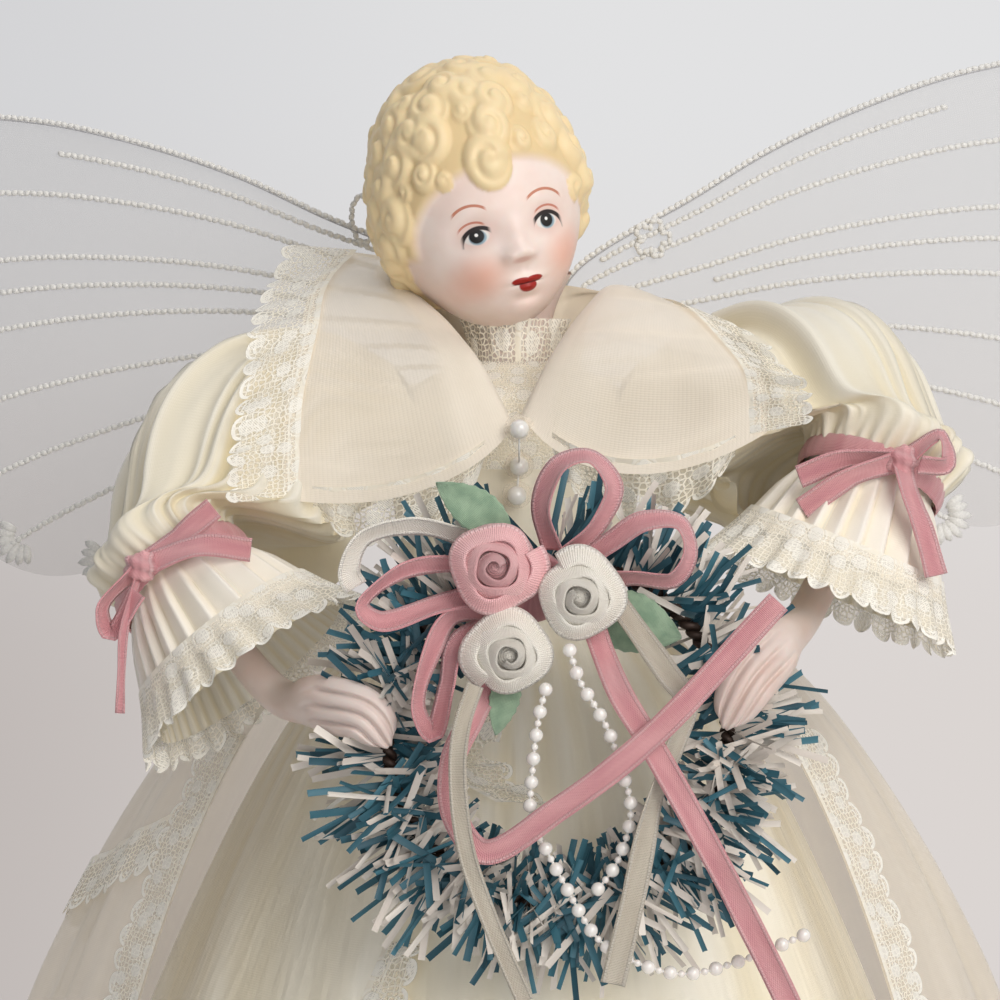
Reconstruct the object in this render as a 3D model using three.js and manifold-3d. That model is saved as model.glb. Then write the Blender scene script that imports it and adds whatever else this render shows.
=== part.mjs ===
// Angel tree topper: a doll in a layered dress on a card cone, with a turning head,
// bendable elbows that carry a tinsel wreath, and two folding wings.
// Millimetres, +Z up, the front faces -Y, the origin is under the middle of the hem.
import * as THREE from 'three';
import { mergeVertices } from 'three/addons/utils/BufferGeometryUtils.js';
import Module from 'manifold-3d';

const wasm = await Module();
wasm.setup();

// Clearances and cloth
const GAP = 0.3;
const SATIN = 1.2;
const ORGANZA = 0.8;
const LACE = 0.8;

// Card cone
const CONE_HEIGHT = 196;
const CONE_BASE_RADIUS = 84;
const CONE_TOP_RADIUS = 16;
const CONE_WALL = 1.2;
const CONE_RIM_WIDTH = 5;

// Body form: heights are above the top of the cone
const PLUG_DEPTH = 10;
const WAIST_RADIUS = 17;
const CHEST_RADIUS = 21;
const CHEST_HEIGHT = 32;
const SHOULDER_RADIUS = 19;
const SHOULDER_HEIGHT = 45;
const NECK_BASE_RADIUS = 8;
const NECK_HEIGHT = 51;
const PEG_RADIUS = 4;
const PEG_LENGTH = 10;
const ARM_HEIGHT = 40;
const ARM_WIRE_RADIUS = 1.6;
const ELBOW_APPROACH = 8;

// Dress
const WAISTLINE_HEIGHT = 8;
const UNDERSKIRT_HEM_RADIUS = 108;
const UNDERSKIRT_FLARE = 0.62;
const UNDERSKIRT_GORES = 6;
const UNDERSKIRT_FOLDS = 12;
const UNDERSKIRT_FOLD_DEPTH = 2.5;
const OVERSKIRT_HEM_EASE = 5;
const OVERSKIRT_FLARE = 0.4;
const OVERSKIRT_SIDE_FULLNESS = 0.09;
const OVERSKIRT_PANELS = 4;
const OVERSKIRT_FOLDS = 20;
const OVERSKIRT_FOLD_DEPTH = 1.4;
const OVERSKIRT_LIFT = 2;
const FRONT_OPENING_HALF_ANGLE = THREE.MathUtils.degToRad(57);
const EDGE_LACE_WIDTH = 12;
const COLLAR_LACE_WIDTH = 10;
const NECK_LACE_HEIGHT = 3.6;
const PEARL_BUTTON_RADIUS = 1.75;
const PEARL_THREAD_RADIUS = 0.4;

// Head: the moulded hair reaches past the skull
const NECK_RADIUS = 7.2;
const HEAD_RISE = 31;
const HEAD_HALF_WIDTH = 18;
const HEAD_HALF_DEPTH = 19.5;
const HEAD_HALF_HEIGHT = 23;
const HAIR_THICKNESS = 2.2;
const CURL_RELIEF = 1;
const CURLS = 40;
const HEAD_ROLL = THREE.MathUtils.degToRad(-13);
const HEAD_YAW = THREE.MathUtils.degToRad(20);

// Sleeves, cuffs and hands: elbows are measured from the arm hole's middle, wrists from the elbows
const ELBOW_LEFT = new THREE.Vector3(-58.5, -38.5, -23.5);
const ELBOW_RIGHT = new THREE.Vector3(63, -33, -6);
const CUFF_AXIS_LEFT = new THREE.Vector3(11, -10, -13.5).normalize();
const CUFF_AXIS_RIGHT = new THREE.Vector3(-7, -8, -17).normalize();
const SLEEVE_TOP_RADIUS = 11;
const PUFF_RADIUS = 18;
const GATHER_RADIUS = 12;
const GATHER_LENGTH = 2.4;
const CUFF_LENGTH = 17;
const CUFF_DROOP = 6;
const CUFF_MOUTH_RADIUS = 19;
const CUFF_PLEATS = 12;
const CUFF_PLEAT_DEPTH = 0.7;
const CUFF_ROWS = 3;
const CUFF_LACE_LENGTH = 8;
const CUFF_LACE_FLARE = 4;
const FOREARM_RADIUS = 3;
const PALM_HALF_WIDTH = 5.4;
const HAND_HALF_THICKNESS = 3;
const WRIST_LEFT = new THREE.Vector3(17, -15.5, -18);
const WRIST_RIGHT = new THREE.Vector3(-12.5, -16, -22);

// Wreath: its middle is measured from the arm hole's middle
const WREATH_MIDDLE = new THREE.Vector3(7, -68, -46);
const WREATH_RADIUS = 29;
const WREATH_LEAN = THREE.MathUtils.degToRad(8);
const CORE_RADIUS = 2;
const STRAND_STATIONS = 48;
const STRANDS_PER_STATION = 8;
const STRAND_LENGTH = 13;
const STRAND_WIDTH = 1.5;
const STRAND_THICKNESS = 0.7;
const STRAND_LEAN = 0.045;
const SHORTEST_STRAND = 3.5;
const HOLD_ANGLE_LEFT = THREE.MathUtils.degToRad(176);
const HOLD_ANGLE_RIGHT = THREE.MathUtils.degToRad(10);

// Bouquet and ribbons
const BOW_PAD_RADIUS = 9.5;
const BOW_PAD_THICKNESS = 4;
const CALYX_RADIUS = 2.2;
const CALYX_LENGTH = 2.3;
const ROSE_DEPTH = 8;
const PINK_ROSE_RADIUS = 7.6;
const WHITE_ROSE_RADIUS = 7.1;
const LEAF_THICKNESS = 0.8;
const RIBBON_WIDTH = 4.8;
const RIBBON_THICKNESS = 0.6;
const BEAD_RADIUS = 1.25;

// Wings
const WING_PLATE_HEIGHT = 30;
const WING_PLATE_THICKNESS = 2.6;
const WING_HINGE_OFFSET = 7;
const WING_HINGE_GAP = 0.35;
const WING_THICKNESS = 0.6;
const WING_WIRE_RADIUS = 0.5;
const WING_SWEEP = THREE.MathUtils.degToRad(10);
const WING_TILT_LEFT = THREE.MathUtils.degToRad(4);
const WING_TILT_RIGHT = THREE.MathUtils.degToRad(2.5);

// Facets round turned pieces
const CONE_SEGMENTS = 24;
const BODY_SEGMENTS = 18;
const NECK_SEGMENTS = 24;
const ROSE_SEGMENTS = 14;
const PAD_SEGMENTS = 20;

const TAU = 2 * Math.PI;
const UP = new THREE.Vector3(0, 0, 1);
const BACK = new THREE.Vector3(0, 1, 0);
const vec = (x, y, z) => new THREE.Vector3(x, y, z);
const smooth = THREE.MathUtils.smoothstep;
const mix = THREE.MathUtils.lerp;

// Derived places
const TORSO_BOTTOM = CONE_HEIGHT + GAP;
const ARM_MIDDLE = vec(0, 0, TORSO_BOTTOM + ARM_HEIGHT);
const WAIST_Z = TORSO_BOTTOM + WAISTLINE_HEIGHT;
const NECK_Z = TORSO_BOTTOM + NECK_HEIGHT;
const WREATH_CENTRE = ARM_MIDDLE.clone().add(WREATH_MIDDLE);
const BODICE_RADIUS = CHEST_RADIUS + GAP + SATIN;

const group = new THREE.Group();

// Geometry helpers

// A geometry with shared corners merged and nothing but positions.
function bare(geometry) {
  const only = geometry.clone();
  only.deleteAttribute('normal');
  only.deleteAttribute('uv');
  return mergeVertices(only, 1e-3);
}

function toSolid(geometry) {
  const merged = bare(geometry);
  const vertProperties = merged.attributes.position.array;
  const triVerts = new Uint32Array(merged.index.array);
  return new wasm.Manifold(new wasm.Mesh({ numProp: 3, vertProperties, triVerts }));
}

// A joined or cut solid without the slivers shorter than a tenth of the gap.
function toGeometry(solid) {
  const mesh = solid.simplify(GAP / 10).getMesh();
  const geometry = new THREE.BufferGeometry();
  geometry.setAttribute('position', new THREE.BufferAttribute(mesh.vertProperties, 3));
  geometry.setIndex(new THREE.BufferAttribute(mesh.triVerts, 1));
  return geometry;
}

function join(geometries) {
  return toGeometry(geometries.map(toSolid).reduce((whole, piece) => whole.add(piece)));
}

function cut(geometry, tools) {
  const rest = tools.map(toSolid).reduce((whole, tool) => whole.subtract(tool), toSolid(geometry));
  return toGeometry(rest);
}

// Closed surface through points and triangles, turned so that its faces point out.
function closedSurface(points, triangles) {
  let volume = 0;
  for (const [a, b, c] of triangles) {
    volume += points[a].dot(points[b].clone().cross(points[c]));
  }
  const facing = volume > 0 ? triangles : triangles.map(([a, b, c]) => [a, c, b]);
  const geometry = new THREE.BufferGeometry().setFromPoints(points);
  geometry.setIndex(facing.flat());
  return geometry;
}

// Solid through a row of rings with equal counts of points, capped at both ends.
function loft(rings) {
  const count = rings[0].length;
  const points = rings.flat();
  const triangles = [];
  for (let row = 0; row + 1 < rings.length; row += 1) {
    for (let i = 0; i < count; i += 1) {
      const a = row * count + i;
      const b = row * count + ((i + 1) % count);
      triangles.push([a, b, a + count], [b, b + count, a + count]);
    }
  }
  const last = (rings.length - 1) * count;
  for (let i = 1; i + 1 < count; i += 1) {
    triangles.push([0, i + 1, i], [last, last + i, last + i + 1]);
  }
  return closedSurface(points, triangles);
}

// Cloth of a thickness round the surface at(u, v). A closed cloth wraps round in u.
// outward(u, v) is the direction of the thickness, or the surface's own normal.
function cloth(at, columns, rows, thickness, { closed = false, outward = null } = {}) {
  const across = closed ? columns : columns + 1;
  const points = [];
  const step = 1e-3;
  const normalAt = (u, v) => {
    const u0 = closed ? u : Math.max(u - step, 0);
    const u1 = closed ? u + step : Math.min(u + step, 1);
    const alongU = at(u1, v).sub(at(u0, v));
    const alongV = at(u, Math.min(v + step, 1)).sub(at(u, Math.max(v - step, 0)));
    return alongU.cross(alongV).normalize();
  };
  for (const side of [0.5, -0.5]) {
    for (let row = 0; row <= rows; row += 1) {
      for (let column = 0; column < across; column += 1) {
        const u = column / columns;
        const v = row / rows;
        const away = outward ? outward(u, v) : normalAt(u, v);
        points.push(at(u, v).addScaledVector(away, side * thickness));
      }
    }
  }
  const layer = across * (rows + 1);
  const place = (row, column) => row * across + (column % across);
  const triangles = [];
  const quad = (a, b, c, d) => triangles.push([a, b, c], [a, c, d]);
  for (let row = 0; row < rows; row += 1) {
    for (let column = 0; column < columns; column += 1) {
      const a = place(row, column);
      const b = place(row, column + 1);
      const c = place(row + 1, column + 1);
      const d = place(row + 1, column);
      quad(a, b, c, d);
      quad(layer + d, layer + c, layer + b, layer + a);
    }
    if (!closed) {
      const near = place(row, 0);
      const nearNext = place(row + 1, 0);
      const far = place(row, columns);
      const farNext = place(row + 1, columns);
      quad(near, nearNext, layer + nearNext, layer + near);
      quad(farNext, far, layer + far, layer + farNext);
    }
  }
  for (let column = 0; column < columns; column += 1) {
    const first = place(0, column);
    const firstNext = place(0, column + 1);
    const end = place(rows, column);
    const endNext = place(rows, column + 1);
    quad(firstNext, first, layer + first, layer + firstNext);
    quad(end, endNext, layer + endNext, layer + end);
  }
  return closedSurface(points, triangles);
}

// Round bar or cord along a curve.
function tube(curve, radius, sides, steps) {
  const corners = Array.from({ length: sides }, (_, i) => {
    const angle = (i / sides) * TAU;
    return new THREE.Vector2(radius * Math.cos(angle), radius * Math.sin(angle));
  });
  const options = { steps, bevelEnabled: false, extrudePath: curve };
  return new THREE.ExtrudeGeometry(new THREE.Shape(corners), options);
}

// Points that the wreath's strands stay clear of
const obstacles = [];

const throughPoints = (points) => new THREE.CatmullRomCurve3(points, false, 'centripetal');

// Flat ribbon along a curve. Turn 0 shows its face to the front, a quarter turn its edge.
function ribbon(points, { turn = 0, steps = 14, width = RIBBON_WIDTH } = {}) {
  const curve = throughPoints(points);
  const rings = [];
  for (let i = 0; i <= steps; i += 1) {
    const middle = curve.getPoint(i / steps);
    const along = curve.getTangent(i / steps);
    const flat = along.clone().cross(BACK).normalize();
    const edge = flat.clone().cross(along).normalize();
    const wide = flat.multiplyScalar(Math.cos(turn)).addScaledVector(edge, Math.sin(turn));
    const thin = wide.clone().cross(along).normalize().multiplyScalar(RIBBON_THICKNESS / 2);
    wide.multiplyScalar(width / 2);
    const corner = (w, t) => middle.clone().addScaledVector(wide, w).addScaledVector(thin, t);
    rings.push([corner(1, 1), corner(1, -1), corner(-1, -1), corner(-1, 1)]);
  }
  curve.getSpacedPoints(4 * steps).forEach((middle) => {
    obstacles.push({ middle, reach: width / 2 + 2 * GAP });
  });
  return loft(rings);
}

// Two directions square to an axis, the first as near to level as can be.
function squareTo(axis) {
  const level = axis.clone().cross(UP).normalize();
  return [level, level.clone().cross(axis).normalize()];
}

function ringRound(middle, axis, radiusAt, count) {
  const [level, rise] = squareTo(axis);
  return Array.from({ length: count }, (_, i) => {
    const angle = (i / count) * TAU;
    const radius = radiusAt(angle);
    return middle
      .clone()
      .addScaledVector(level, radius * Math.cos(angle))
      .addScaledVector(rise, radius * Math.sin(angle));
  });
}

const looks = {
  card: { color: 0xd8cdb8, roughness: 0.9 },
  foam: { color: 0xefe8d6, roughness: 0.8 },
  satin: { color: 0xf3ecd8, roughness: 0.35 },
  organza: { color: 0xe6dccb, roughness: 0.5 },
  lace: { color: 0xf2e8cf, roughness: 0.8 },
  bisque: { color: 0xecd0c4, roughness: 0.35 },
  pearl: { color: 0xf1e2d3, roughness: 0.2 },
  pinkRibbon: { color: 0xd99a9c, roughness: 0.4 },
  whiteRibbon: { color: 0xf0e6d8, roughness: 0.4 },
  leaf: { color: 0x7f9f86, roughness: 0.6 },
  tinsel: { color: 0x2f6274, roughness: 0.3 },
  wire: { color: 0x55565a, roughness: 0.4, metalness: 1 },
  wing: { color: 0xdfe0e4, roughness: 0.3 },
};
const materials = Object.fromEntries(
  Object.entries(looks).map(([name, look]) => [name, new THREE.MeshStandardMaterial(look)]),
);

function add(name, geometry, look, parent = group) {
  const mesh = new THREE.Mesh(geometry, materials[look]);
  mesh.name = name;
  parent.add(mesh);
  return mesh;
}

// Profiles turned round the body's axis
const lathe = (profile, segments) => {
  const points = profile.map(([radius, z]) => new THREE.Vector2(radius, z));
  return new THREE.LatheGeometry(points, segments).rotateX(Math.PI / 2);
};

function buildCone() {
  const inner = CONE_TOP_RADIUS - CONE_WALL;
  const slope = (CONE_BASE_RADIUS - CONE_TOP_RADIUS) / CONE_HEIGHT;
  const rimOuter = CONE_BASE_RADIUS - CONE_WALL - slope * CONE_WALL;
  const rimInner = rimOuter - CONE_RIM_WIDTH;
  const profile = [
    [rimInner, 0],
    [CONE_BASE_RADIUS, 0],
    [CONE_TOP_RADIUS, CONE_HEIGHT],
    [inner, CONE_HEIGHT],
    [rimOuter, CONE_WALL],
    [rimInner, CONE_WALL],
    [rimInner, 0],
  ];
  add('base_cone', lathe(profile, CONE_SEGMENTS), 'card');
}

// The form's outline above the waist: [radius, z]
const TORSO_OUTLINE = [
  [WAIST_RADIUS, TORSO_BOTTOM],
  [CHEST_RADIUS, TORSO_BOTTOM + CHEST_HEIGHT],
  [SHOULDER_RADIUS, TORSO_BOTTOM + SHOULDER_HEIGHT],
  [NECK_BASE_RADIUS, NECK_Z],
];
const PEG_TOP = NECK_Z + PEG_LENGTH;

function armCurve() {
  const left = ARM_MIDDLE.clone().add(ELBOW_LEFT);
  const right = ARM_MIDDLE.clone().add(ELBOW_RIGHT);
  const short = FOREARM_RADIUS + 2 * GAP;
  const leftEnd = left.clone().addScaledVector(CUFF_AXIS_LEFT, -short);
  const rightEnd = right.clone().addScaledVector(CUFF_AXIS_RIGHT, -short);
  const bendLeft = leftEnd.clone().addScaledVector(CUFF_AXIS_LEFT, -ELBOW_APPROACH);
  const bendRight = rightEnd.clone().addScaledVector(CUFF_AXIS_RIGHT, -ELBOW_APPROACH);
  const inLeft = ARM_MIDDLE.clone().setX(-BODICE_RADIUS);
  const inRight = ARM_MIDDLE.clone().setX(BODICE_RADIUS);
  return throughPoints([leftEnd, bendLeft, inLeft, inRight, bendRight, rightEnd]);
}

const ARM_STEPS = 15;
const ARM_SIDES = 6;

function buildTorso() {
  const plug = CONE_TOP_RADIUS - CONE_WALL - GAP;
  const profile = [
    [0, TORSO_BOTTOM - PLUG_DEPTH],
    [plug, TORSO_BOTTOM - PLUG_DEPTH],
    [plug, TORSO_BOTTOM],
    ...TORSO_OUTLINE,
    [PEG_RADIUS, NECK_Z],
    [PEG_RADIUS, PEG_TOP],
    [0, PEG_TOP],
  ];
  const armHole = tube(armCurve(), ARM_WIRE_RADIUS + GAP, ARM_SIDES, ARM_STEPS);
  add('torso_form', cut(lathe(profile, BODY_SEGMENTS), [armHole]), 'foam');
  add('arm_wire', tube(armCurve(), ARM_WIRE_RADIUS, ARM_SIDES, ARM_STEPS), 'wire');
}

// The form's radius at a height
function torsoRadius(z) {
  const above = TORSO_OUTLINE.findIndex(([, height]) => height >= z);
  const [r1, z1] = TORSO_OUTLINE[Math.max(above, 1)];
  const [r0, z0] = TORSO_OUTLINE[Math.max(above, 1) - 1];
  return mix(r0, r1, (z - z0) / (z1 - z0));
}

// The outline moved out square to itself
function outlineOffset(distance) {
  return TORSO_OUTLINE.map(([radius, z], i) => {
    const before = TORSO_OUTLINE[Math.max(i - 1, 0)];
    const after = TORSO_OUTLINE[Math.min(i + 1, TORSO_OUTLINE.length - 1)];
    const along = new THREE.Vector2(after[0] - before[0], after[1] - before[1]).normalize();
    return [radius + along.y * distance, z - along.x * distance];
  });
}

const BODICE_HEM_Z = WAIST_Z + 2 * GAP;

function buildBodice() {
  const inner = outlineOffset(2 * GAP).slice(1);
  const outer = outlineOffset(2 * GAP + SATIN).slice(1);
  const hem = torsoRadius(BODICE_HEM_Z) + 2 * GAP;
  const profile = [[hem, BODICE_HEM_Z], [hem + SATIN, BODICE_HEM_Z], ...outer, ...inner.reverse()];
  const armHole = tube(armCurve(), ARM_WIRE_RADIUS + GAP, ARM_SIDES, ARM_STEPS);
  add('bodice', cut(lathe([...profile, profile[0]], BODY_SEGMENTS), [armHole]), 'satin');
}

const NECK_LACE_INNER = NECK_RADIUS + 3 * GAP;
const BODICE_TOP_Z = outlineOffset(2 * GAP + SATIN).at(-1)[1];

function buildNeckLace() {
  const bottom = BODICE_TOP_Z + GAP;
  const at = (u, v) => {
    const angle = u * TAU;
    const radius = NECK_LACE_INNER + LACE / 2 + 0.5 * v * v;
    const top = NECK_LACE_HEIGHT * (1 + 0.08 * Math.cos(8 * angle));
    return vec(radius * Math.cos(angle), radius * Math.sin(angle), bottom + v * top);
  };
  const outward = (u) => vec(Math.cos(u * TAU), Math.sin(u * TAU), 0);
  add('neck_lace', cloth(at, 16, 1, LACE, { closed: true, outward }), 'lace');
}

// Skirts: v runs from the waist to the hem, angle 0 is the front
const aroundFront = (angle) => vec(Math.sin(angle), -Math.cos(angle), 0);

const OVERSKIRT_HEM_RADIUS = UNDERSKIRT_HEM_RADIUS + OVERSKIRT_HEM_EASE;
const UNDERSKIRT_WAIST = torsoRadius(WAIST_Z) + GAP + SATIN / 2;
const OVERSKIRT_WAIST = UNDERSKIRT_WAIST + SATIN / 2 + GAP + ORGANZA / 2;

function underskirtRadius(angle, v) {
  const fall = UNDERSKIRT_WAIST + (UNDERSKIRT_HEM_RADIUS - UNDERSKIRT_WAIST) * v ** UNDERSKIRT_FLARE;
  return fall + UNDERSKIRT_FOLD_DEPTH * v * Math.cos(UNDERSKIRT_FOLDS * angle);
}

function overskirtRadius(angle, v) {
  const fall = OVERSKIRT_WAIST + (OVERSKIRT_HEM_RADIUS - OVERSKIRT_WAIST) * v ** OVERSKIRT_FLARE;
  const sides = smooth(Math.abs(angle), FRONT_OPENING_HALF_ANGLE, Math.PI / 2);
  const full = 1 + OVERSKIRT_SIDE_FULLNESS * Math.sin(Math.PI * v) * sides;
  const fromEdge = Math.abs(angle) - FRONT_OPENING_HALF_ANGLE;
  const depth = OVERSKIRT_FOLD_DEPTH * Math.min(3 * v, 1) * smooth(fromEdge, 0.2, 0.4);
  return fall * full + depth * Math.cos(OVERSKIRT_FOLDS * angle);
}

// Rows of cloth lie closer together near the waist, where the skirt curves most.
const ROW_CROWDING = 1.5;

// One panel of a skirt between two angles, short of each seam by half the gap.
function skirtPanel(radiusAt, from, to, bottom, thickness, columns, rows) {
  const angleAt = (u, v) => {
    const margin = GAP / 2 / radiusAt((from + to) / 2, v);
    return mix(from + margin, to - margin, u);
  };
  const at = (u, v) => {
    const drop = v ** ROW_CROWDING;
    const angle = angleAt(u, drop);
    return aroundFront(angle).multiplyScalar(radiusAt(angle, drop)).setZ(mix(WAIST_Z, bottom, drop));
  };
  const outward = (u, v) => aroundFront(angleAt(u, v ** ROW_CROWDING));
  return cloth(at, columns, rows, thickness, { outward });
}

function buildSkirts() {
  const gore = TAU / UNDERSKIRT_GORES;
  for (let i = 0; i < UNDERSKIRT_GORES; i += 1) {
    const from = (i - 0.5) * gore;
    const panel = skirtPanel(underskirtRadius, from, from + gore, 0, SATIN, 8, 6);
    add(`underskirt_gore_${i + 1}`, panel, 'satin');
  }
  const panelAngle = (TAU - 2 * FRONT_OPENING_HALF_ANGLE) / OVERSKIRT_PANELS;
  for (let i = 0; i < OVERSKIRT_PANELS; i += 1) {
    const from = FRONT_OPENING_HALF_ANGLE + i * panelAngle;
    const signed = (angle) => (angle > Math.PI ? angle - TAU : angle);
    const radiusAt = (angle, v) => overskirtRadius(signed(angle), v);
    const panel = skirtPanel(radiusAt, from, from + panelAngle, OVERSKIRT_LIFT, ORGANZA, 12, 6);
    add(`overskirt_panel_${i + 1}`, panel, 'organza');
  }
}

// Lace along the overskirt's front edges, from under the cuffs to the hem
const EDGE_LACE_START = 0.12;

function buildEdgeLace(name, side) {
  const proud = ORGANZA / 2 + 2 * GAP + LACE / 2;
  const dropAt = (v) => mix(EDGE_LACE_START, 1, v);
  const angleAt = (u, v) => {
    const drop = dropAt(v);
    const wide = EDGE_LACE_WIDTH / overskirtRadius(FRONT_OPENING_HALF_ANGLE, drop);
    return side * (FRONT_OPENING_HALF_ANGLE + u * wide);
  };
  const at = (u, v) => {
    const drop = dropAt(v);
    const angle = angleAt(u, v);
    const radius = overskirtRadius(angle, drop) + proud;
    return aroundFront(angle).multiplyScalar(radius).setZ(mix(WAIST_Z, OVERSKIRT_LIFT, drop));
  };
  const outward = (u, v) => aroundFront(angleAt(u, v));
  add(name, cloth(at, 2, 10, LACE, { outward }), 'lace');
}

// Collar lapels: rows run from behind the neck to the front, columns from the neckline over
// the roll to the outer edge. Places are measured from the arm hole's middle.
const LAPEL_LEFT = [
  [[-9, 8, 11.4], [-21, 16, 28], [-33, 20, 32]],
  [[-12, 1, 11], [-22.5, 5, 26], [-38, 5, 25]],
  [[-11, -9, 10.2], [-14, -15, 18.5], [-39, -15, 18]],
  [[-6, -18.4, 7.8], [-6.5, -26, 12], [-41, -33, 4]],
  [[-1.6, -23.6, 1.8], [-1.2, -32.5, 3], [-41, -39, -9]],
];
const LAPEL_RIGHT = [
  [[9, 8, 11.4], [17, 12, 25], [27, 2, 23]],
  [[12, 1, 11], [16, -2, 25.5], [34, -16, 22.5]],
  [[11, -9, 10.2], [10.5, -15, 19], [39.5, -29, 18]],
  [[6, -18.4, 7.8], [5.5, -26, 12], [43.5, -38, 12]],
  [[1.6, -23.6, 1.8], [1.4, -33, 5], [44, -42, 3]],
];

// Smooth surface through rows of places
function patch(rows) {
  const curves = rows.map((row) => throughPoints(row.map((p) => vec(...p).add(ARM_MIDDLE))));
  return (u, v) => throughPoints(curves.map((curve) => curve.getPoint(u))).getPoint(v);
}

const LAPEL_SAG_LEFT = 6;
const LAPEL_SAG_RIGHT = 9;

function buildLapel(name, laceName, rows, slack) {
  const surface = patch(rows);
  const side = Math.sign(rows[0][0][0]);
  const at = (u, v) => {
    const sag = slack * Math.sin(Math.PI * Math.max(2 * u - 1, 0)) * smooth(v, 0.6, 1);
    return surface(u, v).add(vec(0, -0.4 * sag, -sag));
  };
  add(name, cloth(at, 6, 8, ORGANZA), 'organza');
  const laceAt = (u, v) => {
    const edge = at(1, v);
    const away = edge.clone().sub(at(0.9, v)).normalize();
    away.add(vec(0.3 * side, -0.5 * smooth(v, 0.2, 0.6), -0.2)).normalize();
    return edge.addScaledVector(away, 2 * GAP + u * COLLAR_LACE_WIDTH);
  };
  add(laceName, cloth(laceAt, 2, 10, LACE), 'lace');
}

// Pearl buttons: one where the lapels meet, two on the bodice below, on one thread
const BUTTON_DROPS = [4.5, 9.8];

function buildButtons() {
  const lapelFront = LAPEL_LEFT.at(-1)[1][1] - ORGANZA;
  const top = ARM_MIDDLE.clone().add(vec(0, lapelFront - GAP - PEARL_BUTTON_RADIUS, 3));
  const onBodice = -BODICE_RADIUS - 2 * GAP - PEARL_BUTTON_RADIUS;
  const lower = BUTTON_DROPS.map((drop) => ARM_MIDDLE.clone().add(vec(0, onBodice, -drop)));
  const turn = lower[0].clone().setY(top.y).setZ(lower[0].z + 2);
  const thread = tube(throughPoints([top, turn, ...lower]), PEARL_THREAD_RADIUS, 4, 7);
  const pearls = [top, ...lower].map((place) => {
    return new THREE.SphereGeometry(PEARL_BUTTON_RADIUS, 8, 5).translate(...place);
  });
  add('pearl_buttons', join([thread, ...pearls]), 'pearl');
}

// Head: a skull with moulded curls, on a hollow neck that turns on the form's peg.
// The face is the window in the hair, in angles from the head's front.
const FACE_HALF_ANGLE = 0.72;
const FACE_HALF_RISE = 0.78;
const FACE_DROP = 0.25;
const JAW_TAPER = 0.3;
const CHIN_FORWARD = 3;
const HEAD_FORWARD = 2;

function headSurface(direction) {
  const { x, y, z } = direction;
  const low = Math.max(-z, 0);
  const jaw = 1 - JAW_TAPER * low * low;
  const skull = vec(x * HEAD_HALF_WIDTH * jaw, y * HEAD_HALF_DEPTH, z * HEAD_HALF_HEIGHT);
  skull.y -= CHIN_FORWARD * low * low;
  const across = Math.atan2(x, -y) / FACE_HALF_ANGLE;
  const rise = (Math.asin(z) + FACE_DROP) / FACE_HALF_RISE;
  const hair = smooth(Math.hypot(across, rise), 0.92, 1.08);
  let relief = 0;
  for (let i = 0; i < CURLS; i += 1) {
    const height = 1 - (2 * i + 1) / CURLS;
    const ring = Math.sqrt(1 - height * height);
    const angle = i * Math.PI * (3 - Math.sqrt(5));
    const curl = vec(ring * Math.cos(angle), ring * Math.sin(angle), height);
    const apart = direction.angleTo(curl);
    relief = Math.max(relief, CURL_RELIEF * (1 - smooth(apart, 0.1, 0.3)));
  }
  return skull.addScaledVector(direction, hair * (HAIR_THICKNESS - CURL_RELIEF + relief));
}

const rod = (radius, bottom, top) =>
  lathe([[0, bottom], [radius, bottom], [radius, top], [0, top]], NECK_SEGMENTS);

function buildHead() {
  const skull = new THREE.SphereGeometry(1, 18, 15).rotateX(Math.PI / 2);
  const places = skull.attributes.position;
  const corner = vec(0, 0, 0);
  for (let i = 0; i < places.count; i += 1) {
    corner.fromBufferAttribute(places, i).normalize();
    places.setXYZ(i, ...headSurface(corner));
  }
  skull.translate(0, -HEAD_FORWARD, HEAD_RISE);
  skull.rotateZ(HEAD_YAW).rotateY(HEAD_ROLL);
  const neckBottom = 2 * GAP;
  const neckTop = HEAD_RISE - 0.5 * HEAD_HALF_HEIGHT;
  const neck = rod(NECK_RADIUS, neckBottom, neckTop);
  const socket = rod(PEG_RADIUS + GAP, 0, PEG_LENGTH + GAP);
  const head = cut(join([skull, neck]), [socket]);
  add('bisque_head', head, 'bisque').position.set(0, 0, NECK_Z);
}

// Sleeve: a puff from the shoulder to the gather, with long folds
const SLEEVE_FOLDS = 6;
const SLEEVE_FOLD_DEPTH = 0.06;
const SLEEVE_RINGS = 8;
const SLEEVE_TOP_RUN = 18;
const SLEEVE_END_RUN = 7;
const SLEEVE_MIDDLE_SHARE = 0.5;
const SLEEVE_LIFT_LEFT = 1;
const SLEEVE_LIFT_RIGHT = 5;
const SLEEVE_SIDES = 24;

function sleevePath(elbow, cuffAxis) {
  const side = Math.sign(elbow.x);
  const start = ARM_MIDDLE.clone().setX(side * (BODICE_RADIUS + 4 * GAP));
  const end = ARM_MIDDLE.clone().add(elbow);
  const gather = end.clone().addScaledVector(cuffAxis, -GATHER_LENGTH - GAP);
  const top = start.clone().add(vec(side * SLEEVE_TOP_RUN, -4, 0.15 * elbow.z + 3));
  const lift = side < 0 ? SLEEVE_LIFT_LEFT : SLEEVE_LIFT_RIGHT;
  const approach = gather.clone().addScaledVector(cuffAxis, -SLEEVE_END_RUN);
  const middle = top.clone().lerp(approach, SLEEVE_MIDDLE_SHARE).add(vec(0, 0, lift));
  const curve = throughPoints([start, top, middle, approach, gather]);
  return { curve, end };
}

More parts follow.
